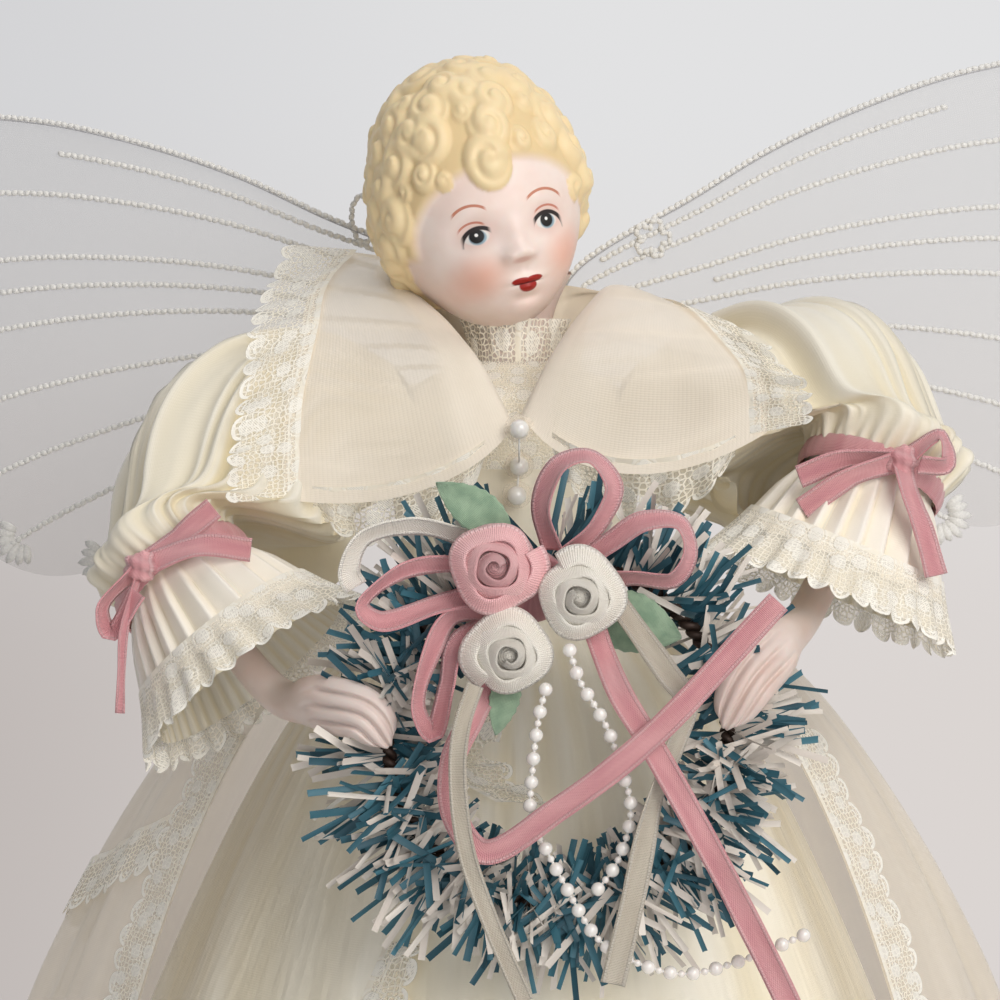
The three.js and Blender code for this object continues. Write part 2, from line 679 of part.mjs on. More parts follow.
function buildSleeve(name, elbow, cuffAxis) {
  const { curve, end } = sleevePath(elbow, cuffAxis);
  const rings = [];
  for (let i = 0; i < SLEEVE_RINGS; i += 1) {
    const t = i / (SLEEVE_RINGS - 1);
    const swell = Math.sin(Math.PI * Math.min(t * 1.02, 1)) ** 0.8;
    const plain = mix(SLEEVE_TOP_RADIUS, GATHER_RADIUS, t);
    const radius = mix(plain, PUFF_RADIUS, smooth(t, 0, 0.62) * swell);
    const folds = SLEEVE_FOLD_DEPTH * Math.sin(Math.PI * t);
    const bend = curve.getTangent(t).lerp(cuffAxis, smooth(t, 0.4, 0.8)).normalize();
    const axis = t > 0 ? bend : vec(Math.sign(elbow.x), 0, 0);
    const wavy = (angle) => radius * (1 + folds * Math.cos(SLEEVE_FOLDS * angle));
    rings.push(ringRound(curve.getPoint(t), axis, wavy, SLEEVE_SIDES));
  }
  const close = end.clone().addScaledVector(cuffAxis, -GAP / 2);
  rings.push(ringRound(close, cuffAxis, () => GATHER_RADIUS, SLEEVE_SIDES));
  const wireBore = tube(armCurve(), ARM_WIRE_RADIUS + GAP, ARM_SIDES, ARM_STEPS);
  const elbowRoom = new THREE.SphereGeometry(FOREARM_RADIUS + 2 * GAP, 8, 6).translate(...end);
  add(name, cut(loft(rings), [wireBore, elbowRoom]), 'satin');
}

// Cuff: a pleated bell that starts at the gather, with a lace hem below it. It droops at the front.
function cuffRadius(t, angle) {
  const flare = mix(GATHER_RADIUS, CUFF_MOUTH_RADIUS, t ** 0.8);
  return flare + CUFF_PLEAT_DEPTH * Math.min(3 * t, 1) * Math.cos(CUFF_PLEATS * angle);
}

function bell(end, axis, alongAt, radiusAt, columns, rows, thickness) {
  const [level, rise] = squareTo(axis);
  const outward = (u) => {
    const angle = u * TAU;
    return level.clone().multiplyScalar(Math.cos(angle)).addScaledVector(rise, Math.sin(angle));
  };
  const at = (u, v) => {
    const radius = radiusAt(v, u * TAU);
    const along = alongAt(v, u * TAU);
    return end.clone().addScaledVector(axis, along).addScaledVector(outward(u), radius);
  };
  for (let i = 0; i < columns; i += 1) {
    for (let j = 0; j <= 2 * rows; j += 1) {
      obstacles.push({ middle: at(i / columns, j / rows / 2), reach: thickness + 5 * GAP });
    }
  }
  return cloth(at, columns, rows, thickness, { closed: true, outward });
}

function buildCuff(name, laceName, elbow, cuffAxis) {
  const end = ARM_MIDDLE.clone().add(elbow);
  const flareAt = (v) => Math.max(v - 1 / CUFF_ROWS, 0) / (1 - 1 / CUFF_ROWS);
  const [level, rise] = squareTo(cuffAxis);
  const ahead = (angle) => -level.y * Math.cos(angle) - rise.y * Math.sin(angle);
  const mouthAt = (angle) => CUFF_LENGTH + CUFF_DROOP * ahead(angle);
  const alongAt = (v, angle) => {
    const straight = GAP / 2 + Math.min(v * CUFF_ROWS, 1) * (GATHER_LENGTH - GAP / 2);
    return straight + flareAt(v) * (mouthAt(angle) - GATHER_LENGTH);
  };
  const radiusAt = (v, angle) => cuffRadius(flareAt(v), angle) - SATIN / 2;
  add(name, bell(end, cuffAxis, alongAt, radiusAt, 2 * CUFF_PLEATS, CUFF_ROWS, SATIN), 'satin');
  const laceRadius = (v, angle) => cuffRadius(1, angle) - SATIN / 2 + CUFF_LACE_FLARE * v;
  const laceAlong = (v, angle) => mouthAt(angle) + GAP + v * CUFF_LACE_LENGTH;
  add(laceName, bell(end, cuffAxis, laceAlong, laceRadius, 2 * CUFF_PLEATS, 1, LACE), 'lace');
}

// Bow tied round a gather: a band, a knot, and loops and tails that start at the knot.
// Routes are measured from the gather's middle.
const BOW_KNOT_RADIUS = 2.4;
const BOW_BAND = 0.9;

function buildSleeveBow(name, elbow, cuffAxis, knotDirection, routes) {
  const end = ARM_MIDDLE.clone().add(elbow);
  const away = knotDirection.clone().projectOnPlane(cuffAxis).normalize();
  const inner = GATHER_RADIUS + GAP;
  const bandRadius = () => inner + BOW_BAND / 2;
  const half = GATHER_LENGTH - GAP;
  const band = bell(end, cuffAxis, (v) => mix(-half, half, v), bandRadius, 16, 1, BOW_BAND);
  const knotPlace = end.clone().addScaledVector(away, inner + BOW_KNOT_RADIUS);
  const knot = new THREE.SphereGeometry(BOW_KNOT_RADIUS, 6, 5).translate(...knotPlace);
  const strips = routes.map(({ route, turn }) => {
    const points = [knotPlace, ...route.map((p) => end.clone().add(vec(...p)))];
    return ribbon(points, { turn, steps: 2 * route.length + 1 });
  });
  add(name, join([band, knot, ...strips]), 'pinkRibbon');
}

const LEFT_BOW = [
  { route: [[1, -12, 10], [6, -11, 14]], turn: 0.2 },
  { route: [[4, -15, 8], [12.6, -14, 7]], turn: 0.2 },
  { route: [[-13, -15.5, -3], [-11.5, -17, -7], [-7, -16.5, 0]], turn: 0.7 },
  { route: [[-9, -19, -6], [-9.3, -22, -13], [-9.5, -24, -20]], turn: 0.3 },
];
const RIGHT_BOW = [
  { route: [[-6, -17, 5], [-14, -17.5, 2]], turn: 0.2 },
  { route: [[11, -14, 9], [12, -15.5, 4], [7, -17, 4]], turn: 0.7 },
  { route: [[5, -19, 0], [7.5, -21, -7], [9.5, -23, -14.5]], turn: 0.3 },
];

// Wreath: a place on its ring at an angle from the viewer's right
function onRing(angle) {
  const rise = WREATH_RADIUS * Math.sin(angle);
  const x = WREATH_RADIUS * Math.cos(angle);
  const flat = vec(x, rise * Math.sin(WREATH_LEAN), rise * Math.cos(WREATH_LEAN));
  return flat.add(WREATH_CENTRE);
}

// Hand: a round-ended forearm from the elbow, a palm and fingers laid over the wreath's core
function buildHand(name, elbow, holdAngle, wristOffset) {
  const top = ARM_MIDDLE.clone().add(elbow);
  const wrist = top.clone().add(wristOffset);
  const held = onRing(holdAngle);
  const tip = held.clone();
  tip.y -= CORE_RADIUS + 2 * GAP + HAND_HALF_THICKNESS;
  const fingers = tip.clone().add(vec(-0.3 * Math.sign(-elbow.x) * 11, 0, 5));
  const knuckles = wrist.clone().lerp(fingers, 0.55).add(vec(0, -3, 1.5));
  const curve = throughPoints([top, wrist, knuckles, fingers, tip.add(vec(0, 0.6, -3))]);
  // Half widths and half thicknesses from the elbow to the fingertips
  const sections = [
    [0, FOREARM_RADIUS, FOREARM_RADIUS],
    [0.3, FOREARM_RADIUS, FOREARM_RADIUS],
    [0.52, 3.6, 3],
    [0.64, 0.85 * PALM_HALF_WIDTH, HAND_HALF_THICKNESS],
    [0.74, PALM_HALF_WIDTH, HAND_HALF_THICKNESS],
    [0.85, 0.9 * PALM_HALF_WIDTH, 0.9 * HAND_HALF_THICKNESS],
    [0.95, 0.7 * PALM_HALF_WIDTH, 0.7 * HAND_HALF_THICKNESS],
    [1, 0.35 * PALM_HALF_WIDTH, 0.4 * HAND_HALF_THICKNESS],
  ];
  const rings = sections.map(([t, wide, thick]) => {
    const middle = curve.getPointAt(t);
    const along = curve.getTangentAt(t);
    const flat = along.clone().cross(BACK).normalize();
    const deep = flat.clone().cross(along).normalize();
    obstacles.push({ middle, reach: wide + 3 * GAP });
    return Array.from({ length: 8 }, (_, i) => {
      const angle = (i / 8) * TAU;
      return middle
        .clone()
        .addScaledVector(flat, wide * Math.cos(angle))
        .addScaledVector(deep, thick * Math.sin(angle));
    });
  });
  const ball = new THREE.SphereGeometry(FOREARM_RADIUS, 8, 6).translate(...top);
  add(name, join([loft(rings), ball]), 'bisque');
}

// Repeatable number between 0 and 1 for strand number i
const scatter = (i) => {
  const value = Math.sin(i * 12.9898) * 43758.5453;
  return value - Math.floor(value);
};

const clearOf = (place) => obstacles.every(({ middle, reach }) => middle.distanceTo(place) > reach);

// A strand keeps clear of the skirt behind it and of the ribbons before it.
function strandRoom(root, direction) {
  for (let length = 1; length <= STRAND_LENGTH; length += 1) {
    const place = root.clone().addScaledVector(direction, length + CORE_RADIUS);
    const drop = THREE.MathUtils.clamp((WAIST_Z - place.z) / WAIST_Z, 0, 1);
    const skirt = underskirtRadius(0, drop) + 2 * UNDERSKIRT_FOLD_DEPTH;
    if (Math.hypot(place.x, place.y) < skirt || !clearOf(place)) {
      return length - 1;
    }
  }
  return STRAND_LENGTH;
}

function strand(root, direction, along, length) {
  const third = direction.clone().cross(along).normalize().multiplyScalar(STRAND_THICKNESS);
  const slice = (distance, share) => {
    const middle = root.clone().addScaledVector(direction, distance);
    const wide = (share * STRAND_WIDTH) / 2;
    return [
      middle.clone().addScaledVector(along, wide).addScaledVector(third, -share / 3),
      middle.clone().addScaledVector(along, -wide).addScaledVector(third, -share / 3),
      middle.clone().addScaledVector(third, (2 * share) / 3),
    ];
  };
  return loft([slice(CORE_RADIUS / 2, 1), slice(CORE_RADIUS + length, 0.8)]);
}

// Directions square to the ring at an angle: outward, along it and to the front
function ringFrame(angle) {
  const root = onRing(angle);
  const out = root.clone().sub(WREATH_CENTRE).normalize();
  const along = onRing(angle + 1e-3).sub(root).normalize();
  return { root, out, along, forward: out.clone().cross(along).normalize() };
}

const aroundCore = ({ out, forward }, turn) =>
  out.clone().multiplyScalar(Math.cos(turn)).addScaledVector(forward, Math.sin(turn));

// A quarter of the wreath: the core has a flat for each strand, and a length for each station.
// A strand sits on one half of its flat, this share along it and across it.
const STRAND_SEAT = 0.28;

function buildWreathQuarter(name, quarter) {
  const stations = STRAND_STATIONS / 4;
  const margin = GAP / 2 / WREATH_RADIUS;
  const from = (quarter * Math.PI) / 2 + margin;
  const to = ((quarter + 1) * Math.PI) / 2 - margin;
  const rings = [];
  for (let i = 0; i <= stations; i += 1) {
    const frame = ringFrame(mix(from, to, i / stations));
    const corners = Array.from({ length: STRANDS_PER_STATION }, (_, corner) => {
      const turn = (corner / STRANDS_PER_STATION) * TAU;
      return frame.root.clone().addScaledVector(aroundCore(frame, turn), CORE_RADIUS);
    });
    rings.push(corners);
  }
  const pieces = [loft(rings)];
  for (let station = 0; station < stations; station += 1) {
    const number = quarter * stations + station;
    const frame = ringFrame(mix(from, to, (station + STRAND_SEAT) / stations));
    const lean = STRAND_LEAN * (2 * scatter(number) - 1);
    for (let i = 0; i < STRANDS_PER_STATION; i += 1) {
      const turn = ((i + STRAND_SEAT) / STRANDS_PER_STATION) * TAU;
      const direction = aroundCore(frame, turn).addScaledVector(frame.along, lean).normalize();
      const room = strandRoom(frame.root, direction);
      const length = Math.min(room, STRAND_LENGTH * (0.85 + 0.15 * scatter(number * 31 + i)));
      if (length >= SHORTEST_STRAND) {
        const wide = frame.along.clone().projectOnPlane(direction).normalize();
        pieces.push(strand(frame.root, direction, wide, length));
      }
    }
  }
  add(name, join(pieces), 'tinsel');
}

// Bouquet: the bow's pad sits before the wreath's top, and all its places are from there.
// Routes give x, the distance forward of the pad's back, and z.
const PAD_OFFSET = vec(-4.5, 0, -3.4);
const PAD = onRing(Math.PI / 2).add(PAD_OFFSET);
PAD.y -= CORE_RADIUS + 3 * GAP;
const fromPad = ([x, forward, z]) => vec(PAD.x + x, PAD.y - forward, PAD.z + z);

const PINK_LOOPS = [
  [
    [3.5, 2, 6], [1.5, 5, 14], [4.7, 8, 21.4], [9.8, 8.5, 22.7],
    [13.8, 7.5, 17.6], [11.5, 5, 11], [6, 2, 5],
  ],
  [
    [7, 2, 3], [13, 4, 7.5], [19, 7, 11.6], [25, 8, 11.4],
    [26.7, 8, 6.6], [24, 6, 1.5], [17, 4, 1.5], [7.5, 2, 0.5],
  ],
  [
    [-6.5, 2.2, 2.6], [-14, 4.5, 4], [-22, 8, 3], [-28.4, 10, -2.5],
    [-25.5, 9, -5.1], [-15.4, 6, -2.5], [-6.5, 2.9, -1],
  ],
  [
    [-6, 2.6, -4.5], [-13.4, 5.5, -5], [-17, 9, -11], [-19, 10, -20],
    [-16.6, 10, -24], [-14.4, 8, -16.5], [-12.6, 5, -9.6], [-6, 2.6, -6.5],
  ],
];
const LOOP_TURN = 0.6;

function buildPinkBow() {
  const pad = new THREE.CylinderGeometry(BOW_PAD_RADIUS, BOW_PAD_RADIUS, BOW_PAD_THICKNESS, PAD_SEGMENTS);
  pad.translate(PAD.x, PAD.y - BOW_PAD_THICKNESS / 2, PAD.z);
  obstacles.push({ middle: PAD.clone(), reach: BOW_PAD_RADIUS + GAP });
  const loops = PINK_LOOPS.map((route) => ribbon(route.map(fromPad), { turn: LOOP_TURN, steps: 12 }));
  add('pink_bow', join([pad, ...loops]), 'pinkRibbon');
}

const WHITE_LOOP = [
  [-9.2, 3, 7.2], [-13, 4, 9], [-20.4, 7, 10.7], [-28.4, 9, 8.6], [-30.6, 9, 3], [-29.5, 8.5, 0.5],
];

// Rose: a short round bud on a narrow calyx that rests on the pad
const ROSE_BACK = BOW_PAD_THICKNESS + GAP + CALYX_LENGTH;

function buildRose(name, x, z, radius, look) {
  const front = ROSE_BACK + ROSE_DEPTH;
  const bottom = BOW_PAD_THICKNESS + GAP;
  const profile = [
    [0, bottom],
    [CALYX_RADIUS, bottom],
    [CALYX_RADIUS, ROSE_BACK],
    [radius, ROSE_BACK],
    [radius, ROSE_BACK + 0.6 * ROSE_DEPTH],
    [0.8 * radius, front - 0.6],
    [0.5 * radius, front - 1.4],
    [0.3 * radius, front],
    [0, front],
  ];
  const rose = lathe(profile, ROSE_SEGMENTS);
  rose.rotateX(Math.PI / 2).translate(PAD.x + x, PAD.y, PAD.z + z);
  obstacles.push({ middle: fromPad([x, ROSE_BACK + ROSE_DEPTH / 2, z]), reach: radius + 2 });
  add(name, rose, look);
}

// Leaf: a pointed blade that lies flat to the front, from its base to its tip
function buildLeaf(name, base, tip, halfWidth, forward) {
  const start = new THREE.Vector2(base[0], base[1]);
  const end = new THREE.Vector2(tip[0], tip[1]);
  const along = end.clone().sub(start);
  const side = new THREE.Vector2(-along.y, along.x).normalize().multiplyScalar(2 * halfWidth);
  const middle = start.clone().addScaledVector(along, 0.45);
  const left = middle.clone().add(side);
  const right = middle.clone().sub(side);
  const outline = new THREE.Shape().moveTo(start.x, start.y);
  outline.quadraticCurveTo(left.x, left.y, end.x, end.y);
  outline.quadraticCurveTo(right.x, right.y, start.x, start.y);
  const blade = new THREE.ExtrudeGeometry(outline, {
    depth: LEAF_THICKNESS,
    bevelEnabled: false,
    curveSegments: 6,
  });
  blade.rotateX(Math.PI / 2).translate(PAD.x, PAD.y - forward + LEAF_THICKNESS, PAD.z);
  const centre = fromPad([middle.x, forward, middle.y]);
  obstacles.push({ middle: centre, reach: along.length() / 2 + GAP });
  add(name, blade, 'leaf');
}

// Ribbon tails: each starts behind or beside a rose and falls in front of the wreath
const BEHIND_ROSE = ROSE_BACK - 2 * GAP;
const TAILS = {
  tail_pink_cross: [
    'pinkRibbon',
    [
      [-5, BEHIND_ROSE, -13.5], [-7.6, BEHIND_ROSE, -17.8], [-10, 10.4, -21.5],
      [-13.2, 14, -28], [-13, 15, -37], [-8, 15.6, -43.2],
      [4.7, 17, -35.5], [19.7, 17.6, -23.6], [41, 17, -0.8],
    ],
  ],
  tail_pink_long: [
    'pinkRibbon',
    [
      [10.6, BEHIND_ROSE, -6.5], [12.4, 7, -11.5], [15.2, 13.2, -17.4], [19.8, 16, -24.7],
      [31.6, 16, -46], [42.7, 16, -68], [45.3, 16, -74],
    ],
  ],
  tail_white_left: [
    'whiteRibbon',
    [
      [-9.4, 13.6, -15.2], [-11.6, 17, -21.5], [-12.4, 19.2, -28.5],
      [-11, 19.4, -42], [-7, 19.4, -54], [-1.1, 19, -68],
    ],
  ],
  tail_white_right: [
    'whiteRibbon',
    [
      [14.2, BEHIND_ROSE - 1, -2], [18.6, 6, -8], [22.6, 10, -13.4], [26.2, 13.8, -18.6],
      [24.6, 14.3, -24.1], [20.7, 14.3, -34.3], [16.9, 14.6, -52.3], [13.7, 14.6, -66],
    ],
  ],
};

function buildTails() {
  for (const [name, [look, route]] of Object.entries(TAILS)) {
    add(name, ribbon(route.map(fromPad), { steps: 14 }), look);
  }
}

// Pearl strands hang free from the roses
const STRANDS = {
  pearl_strand_long: [
    [2.6, 10, -15.6], [1.2, 12, -21], [0.2, 13, -29], [0, 13, -38.6], [2.3, 13, -43], [5.1, 13, -48.4],
    [11.6, 13, -59], [18.3, 12.4, -63], [26, 11, -65], [35.3, 10, -63], [47, 9, -58.4],
  ],
  pearl_strand_short: [
    [6.1, 11, -8.8], [8, 13, -14.6], [10.8, 13.6, -19.2], [13, 13.6, -23.4], [15.2, 13, -30.1],
    [16.6, 12.6, -35.2], [16.4, 12.4, -39.5], [14.2, 12.2, -46], [10.6, 12.2, -51],
  ],
};

function buildPearlStrands() {
  for (const [name, route] of Object.entries(STRANDS)) {
    const curve = throughPoints(route.map(fromPad));
    const steps = Math.ceil(curve.getLength() / (5 * BEAD_RADIUS));
    curve.getSpacedPoints(2 * steps).forEach((middle) => {
      obstacles.push({ middle, reach: BEAD_RADIUS + STRAND_THICKNESS + GAP });
    });
    add(name, tube(curve, BEAD_RADIUS, 8, steps), 'pearl');
  }
}

// Wings: each turns on an upright hinge at the plate's edge. The outline is [out, up] from there.
const WING_TOP = [
  [0, 8], [5, 16], [29, 29], [44, 37], [63, 44.5], [83, 50], [104, 52], [122, 48], [131, 39],
];
const WING_TIPS = [
  [131, 39], [135, 23], [135, 9], [131, -5], [123, -17], [112, -27], [98, -34], [80, -38],
];
const WING_BOTTOM = [[80, -38], [60, -28], [35, -16], [12, -9], [0, -8]];
const WING_SCALLOP = 4;
const HINGE_Y = BODICE_RADIUS + 3 * GAP + WING_PLATE_THICKNESS / 2;
const HINGE_Z = ARM_MIDDLE.z + 12;

function wingShape(side) {
  const flip = ([x, y]) => new THREE.Vector2(side * x, y);
  const shape = new THREE.Shape().moveTo(...flip(WING_TOP[0]).toArray());
  shape.splineThru(WING_TOP.slice(1).map(flip));
  WING_TIPS.slice(1).forEach((tip, i) => {
    const from = WING_TIPS[i];
    const middle = new THREE.Vector2((from[0] + tip[0]) / 2, (from[1] + tip[1]) / 2);
    const chord = new THREE.Vector2(tip[0] - from[0], tip[1] - from[1]).normalize();
    const swell = flip([middle.x - chord.y * WING_SCALLOP, middle.y + chord.x * WING_SCALLOP]);
    shape.quadraticCurveTo(swell.x, swell.y, ...flip(tip).toArray());
  });
  shape.splineThru(WING_BOTTOM.slice(1).map(flip));
  return shape;
}

function buildWing(label, side, tilt) {
  const hinge = new THREE.Group();
  hinge.position.set(side * WING_HINGE_OFFSET, HINGE_Y, HINGE_Z);
  hinge.rotation.set(0, -tilt, side * WING_SWEEP, 'ZYX');
  group.add(hinge);
  const options = { depth: WING_THICKNESS, bevelEnabled: false, curveSegments: 2 };
  const sheet = new THREE.ExtrudeGeometry(wingShape(side), options).rotateX(Math.PI / 2);
  sheet.translate(side * WING_HINGE_GAP, WING_THICKNESS / 2, 0);
  add(`wing_sheet_${label}`, sheet, 'wing', hinge);
  const before = WING_THICKNESS / 2 + GAP + WING_WIRE_RADIUS;
  const route = WING_TOP.map(([x, y]) => vec(side * (x + WING_HINGE_GAP), -before, y - WING_WIRE_RADIUS));
  add(`wing_wire_${label}`, tube(throughPoints(route), WING_WIRE_RADIUS, 5, 12), 'wire', hinge);
}

function buildWingPlate() {
  const width = 2 * (WING_HINGE_OFFSET - WING_HINGE_GAP);
  const plate = new THREE.BoxGeometry(width, WING_PLATE_THICKNESS, WING_PLATE_HEIGHT);
  add('wing_plate', plate, 'satin').position.set(0, HINGE_Y, HINGE_Z - 4);
}

buildCone();
buildTorso();
buildBodice();
buildNeckLace();
buildSkirts();
buildEdgeLace('overskirt_lace_left', -1);
buildEdgeLace('overskirt_lace_right', 1);
buildLapel('collar_left', 'collar_lace_left', LAPEL_LEFT, LAPEL_SAG_LEFT);
buildLapel('collar_right', 'collar_lace_right', LAPEL_RIGHT, LAPEL_SAG_RIGHT);
buildButtons();
buildHead();
buildSleeve('sleeve_left', ELBOW_LEFT, CUFF_AXIS_LEFT);
buildSleeve('sleeve_right', ELBOW_RIGHT, CUFF_AXIS_RIGHT);
buildCuff('cuff_left', 'cuff_lace_left', ELBOW_LEFT, CUFF_AXIS_LEFT);
buildCuff('cuff_right', 'cuff_lace_right', ELBOW_RIGHT, CUFF_AXIS_RIGHT);
buildSleeveBow('sleeve_bow_left', ELBOW_LEFT, CUFF_AXIS_LEFT, vec(-0.5, -1, 0.3), LEFT_BOW);
buildSleeveBow('sleeve_bow_right', ELBOW_RIGHT, CUFF_AXIS_RIGHT, vec(0.3, -1, 0.3), RIGHT_BOW);
buildHand('hand_left', ELBOW_LEFT, HOLD_ANGLE_LEFT, WRIST_LEFT);
buildHand('hand_right', ELBOW_RIGHT, HOLD_ANGLE_RIGHT, WRIST_RIGHT);
buildPinkBow();
add('white_loop', ribbon(WHITE_LOOP.map(fromPad), { turn: LOOP_TURN, steps: 9 }), 'whiteRibbon');
buildRose('rose_pink', -6.1, 4.4, PINK_ROSE_RADIUS, 'pinkRibbon');
buildRose('rose_white_right', 8, -0.9, WHITE_ROSE_RADIUS, 'whiteRibbon');
buildRose('rose_white_left', -3.7, -10.6, WHITE_ROSE_RADIUS, 'whiteRibbon');
buildLeaf('leaf_top', [-3.5, 9.5], [-16, 18], 3.6, BEHIND_ROSE);
buildLeaf('leaf_right', [9.4, -3.8], [25.5, -9], 4, GAP + LEAF_THICKNESS);
buildLeaf('leaf_bottom', [-3.2, -13], [-6, -25], 2.6, BEHIND_ROSE - 2 * GAP);
buildTails();
buildPearlStrands();
buildWreathQuarter('wreath_top_right', 0);
buildWreathQuarter('wreath_top_left', 1);
buildWreathQuarter('wreath_bottom_left', 2);
buildWreathQuarter('wreath_bottom_right', 3);
buildWingPlate();
buildWing('left', -1, WING_TILT_LEFT);
buildWing('right', 1, WING_TILT_RIGHT);

export default group;
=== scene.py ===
"""Angel tree topper: the dressed figure over its solids, with its stage."""

import math

import bmesh
import bpy
import numpy as np
from mathutils import Matrix, Vector


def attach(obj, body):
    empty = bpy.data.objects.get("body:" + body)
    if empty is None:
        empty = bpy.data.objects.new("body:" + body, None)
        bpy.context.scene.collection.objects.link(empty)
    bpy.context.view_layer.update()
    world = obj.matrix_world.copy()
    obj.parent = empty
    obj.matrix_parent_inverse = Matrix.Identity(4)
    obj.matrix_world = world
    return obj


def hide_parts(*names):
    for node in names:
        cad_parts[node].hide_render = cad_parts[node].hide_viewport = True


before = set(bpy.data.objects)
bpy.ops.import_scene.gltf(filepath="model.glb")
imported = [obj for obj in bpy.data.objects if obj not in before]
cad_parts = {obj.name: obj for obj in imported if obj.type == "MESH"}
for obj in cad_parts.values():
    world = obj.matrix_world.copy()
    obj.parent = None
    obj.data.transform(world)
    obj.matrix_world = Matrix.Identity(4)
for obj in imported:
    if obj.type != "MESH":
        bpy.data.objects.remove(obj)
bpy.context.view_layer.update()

bl_info = {
    "name": "Angel tree topper",
    "version": (1, 0, 0),
    "blender": (4, 5, 0),
    "location": "View3D > Sidebar > Topper",
    "description": "Dresses an angel tree topper in cloth, lace, ribbon and bisque",
    "category": "Add Mesh",
}

# Places and sizes shared with the solids, in millimetres. The front faces -Y.
MM = 0.001
UP = np.array((0.0, 0.0, 1.0))
BACK = np.array((0.0, 1.0, 0.0))
TAU = 2 * math.pi
ARM_MIDDLE = np.array((0.0, 0.0, 236.3))
WAIST_Z = 204.3
NECK_Z = 247.3
UNDERSKIRT_WAIST = 18.9
UNDERSKIRT_HEM = 108.0
OVERSKIRT_WAIST = 20.2
OVERSKIRT_HEM = 113.0
OVERSKIRT_LIFT = 2.0
FRONT_OPENING = math.radians(57)
BODICE_OUTLINE = ((19.9, 204.9), (21.6, 216.0), (22.8, 228.2), (20.5, 242.3), (8.9, 248.9))
ELBOWS = {"left": ARM_MIDDLE + (-58.5, -38.5, -23.5), "right": ARM_MIDDLE + (63, -33, -6)}
CUFF_AXES = {"left": (11, -10, -13.5), "right": (-7, -8, -17)}
CUFF_LENGTH = 17.0
CUFF_DROOP = 6.0
SLEEVE_LIFTS = {"left": 1.0, "right": 5.0}
WRISTS = {"left": (17, -15.5, -18), "right": (-12.5, -16, -22)}
HOLDS = {"left": math.radians(176), "right": math.radians(10)}
SIDES = {"left": -1, "right": 1}
WREATH_CENTRE = ARM_MIDDLE + (7, -68, -46)
WREATH_RADIUS = 29.0
WREATH_LEAN = math.radians(8)
LIFT_MOST = math.radians(10)
ROSE_BACK = 6.6
BEHIND_ROSE = 6.0
HINGES = {"left": np.array((-7.0, 24.7, 248.3)), "right": np.array((7.0, 24.7, 248.3))}
WING_SWEEP = math.radians(10)
WING_TILT = {"left": math.radians(4), "right": math.radians(2.5)}
HEAD_ROLL = math.radians(-13)
HEAD_YAW = math.radians(16)
HEAD_CENTRE = np.array((0.0, -2.0, 31.0))
# The skull, the window of the face in the hair, and places inside the cloth, which its faces turn away from.
SKULL_HALVES = (18, 19.5, 23)
SKULL_RADIUS = 20
FACE_HALF_WIDTH = math.radians(63)
FACE_HALF_HEIGHT = math.radians(42)
FACE_BELOW = math.radians(24)
SKIRT_MIDDLE = (0, 0, 60)
CHEST_MIDDLE = (0, 0, 225)
COLLAR_MIDDLE = (0, 10, 225)

# Cloth and trimmings. The two numbers of a satin make the shared satin lighter and less yellow: painted light,
# lit copies of the ivory satin for the skirt, the bodice and the cuffs, which would render in shade.
SKIRT_SATIN_LIT = ("skirt_satin", 1.14, 1.0)
CUFF_SATIN_LIT = ("cuff_satin", 1.16, 1.06)
SKIRT_LACE_WIDTH = 12.0
COLLAR_LACE_WIDTHS = {"left": 14, "right": 12}
LAPEL_SLACKS = {"left": 6.0, "right": 9.0}
LAPEL_OPACITIES = {"left": 0.76, "right": 0.86}
LAPEL_HEM_OPACITY = 0.26
SLEEVE_HANGS = {"left": 0.7, "right": 0.4}
SLEEVE_SLIMS = {"left": 0.1, "right": 0.0}
CUFF_NECK = 12
CUFF_FLARE = 7
CUFF_PLEATS = 23
HEM_LACE = 12.3
HEM_OVERLAP = 4
BOW_BAND = 12.9
RIBBON_THICKNESS = 0.25
LEAF_THICKNESS = 0.3
BOW_KNOT = 14.7
BUTTON_RADIUS = 1.75
BUTTON_NET = (2.7, 0.5, 2.5)
THREAD_RADIUS = 0.22
BEAD_PITCH = 1.62
SMALL_BEAD = 0.52
SLEEVE_NECK = 11
SLEEVE_FULL = 19
PLATE_SIZE = (13.3, 2.6, 30)
PLATE_PLACE = (0, 24.7, 244.3)
CURL_COUNT = 170
ROSE_WRAPS = 3.0
ROSE_BAND = 3.2
WIRE_RADIUS = 0.75
STITCH_PITCH = 1.25
WING_ROWS = 8
# How near a strip may come to a hand or stem, to a ribbon or strand, and to the cloth of an arm.
HAND_ROOM = 3.6
RIBBON_ROOM = 2.7
CLOTH_ROOM = 2.2
# The strips' spread round the core, the shares that point inwards and that lie across, and their lean.
STRIP_SPREAD = 0.75
STRIPS_INWARD = 0.42
STRIPS_ACROSS = 0.18
STRIP_LEAN = 0.42
STRIP_FORWARD_MOST = 9.5

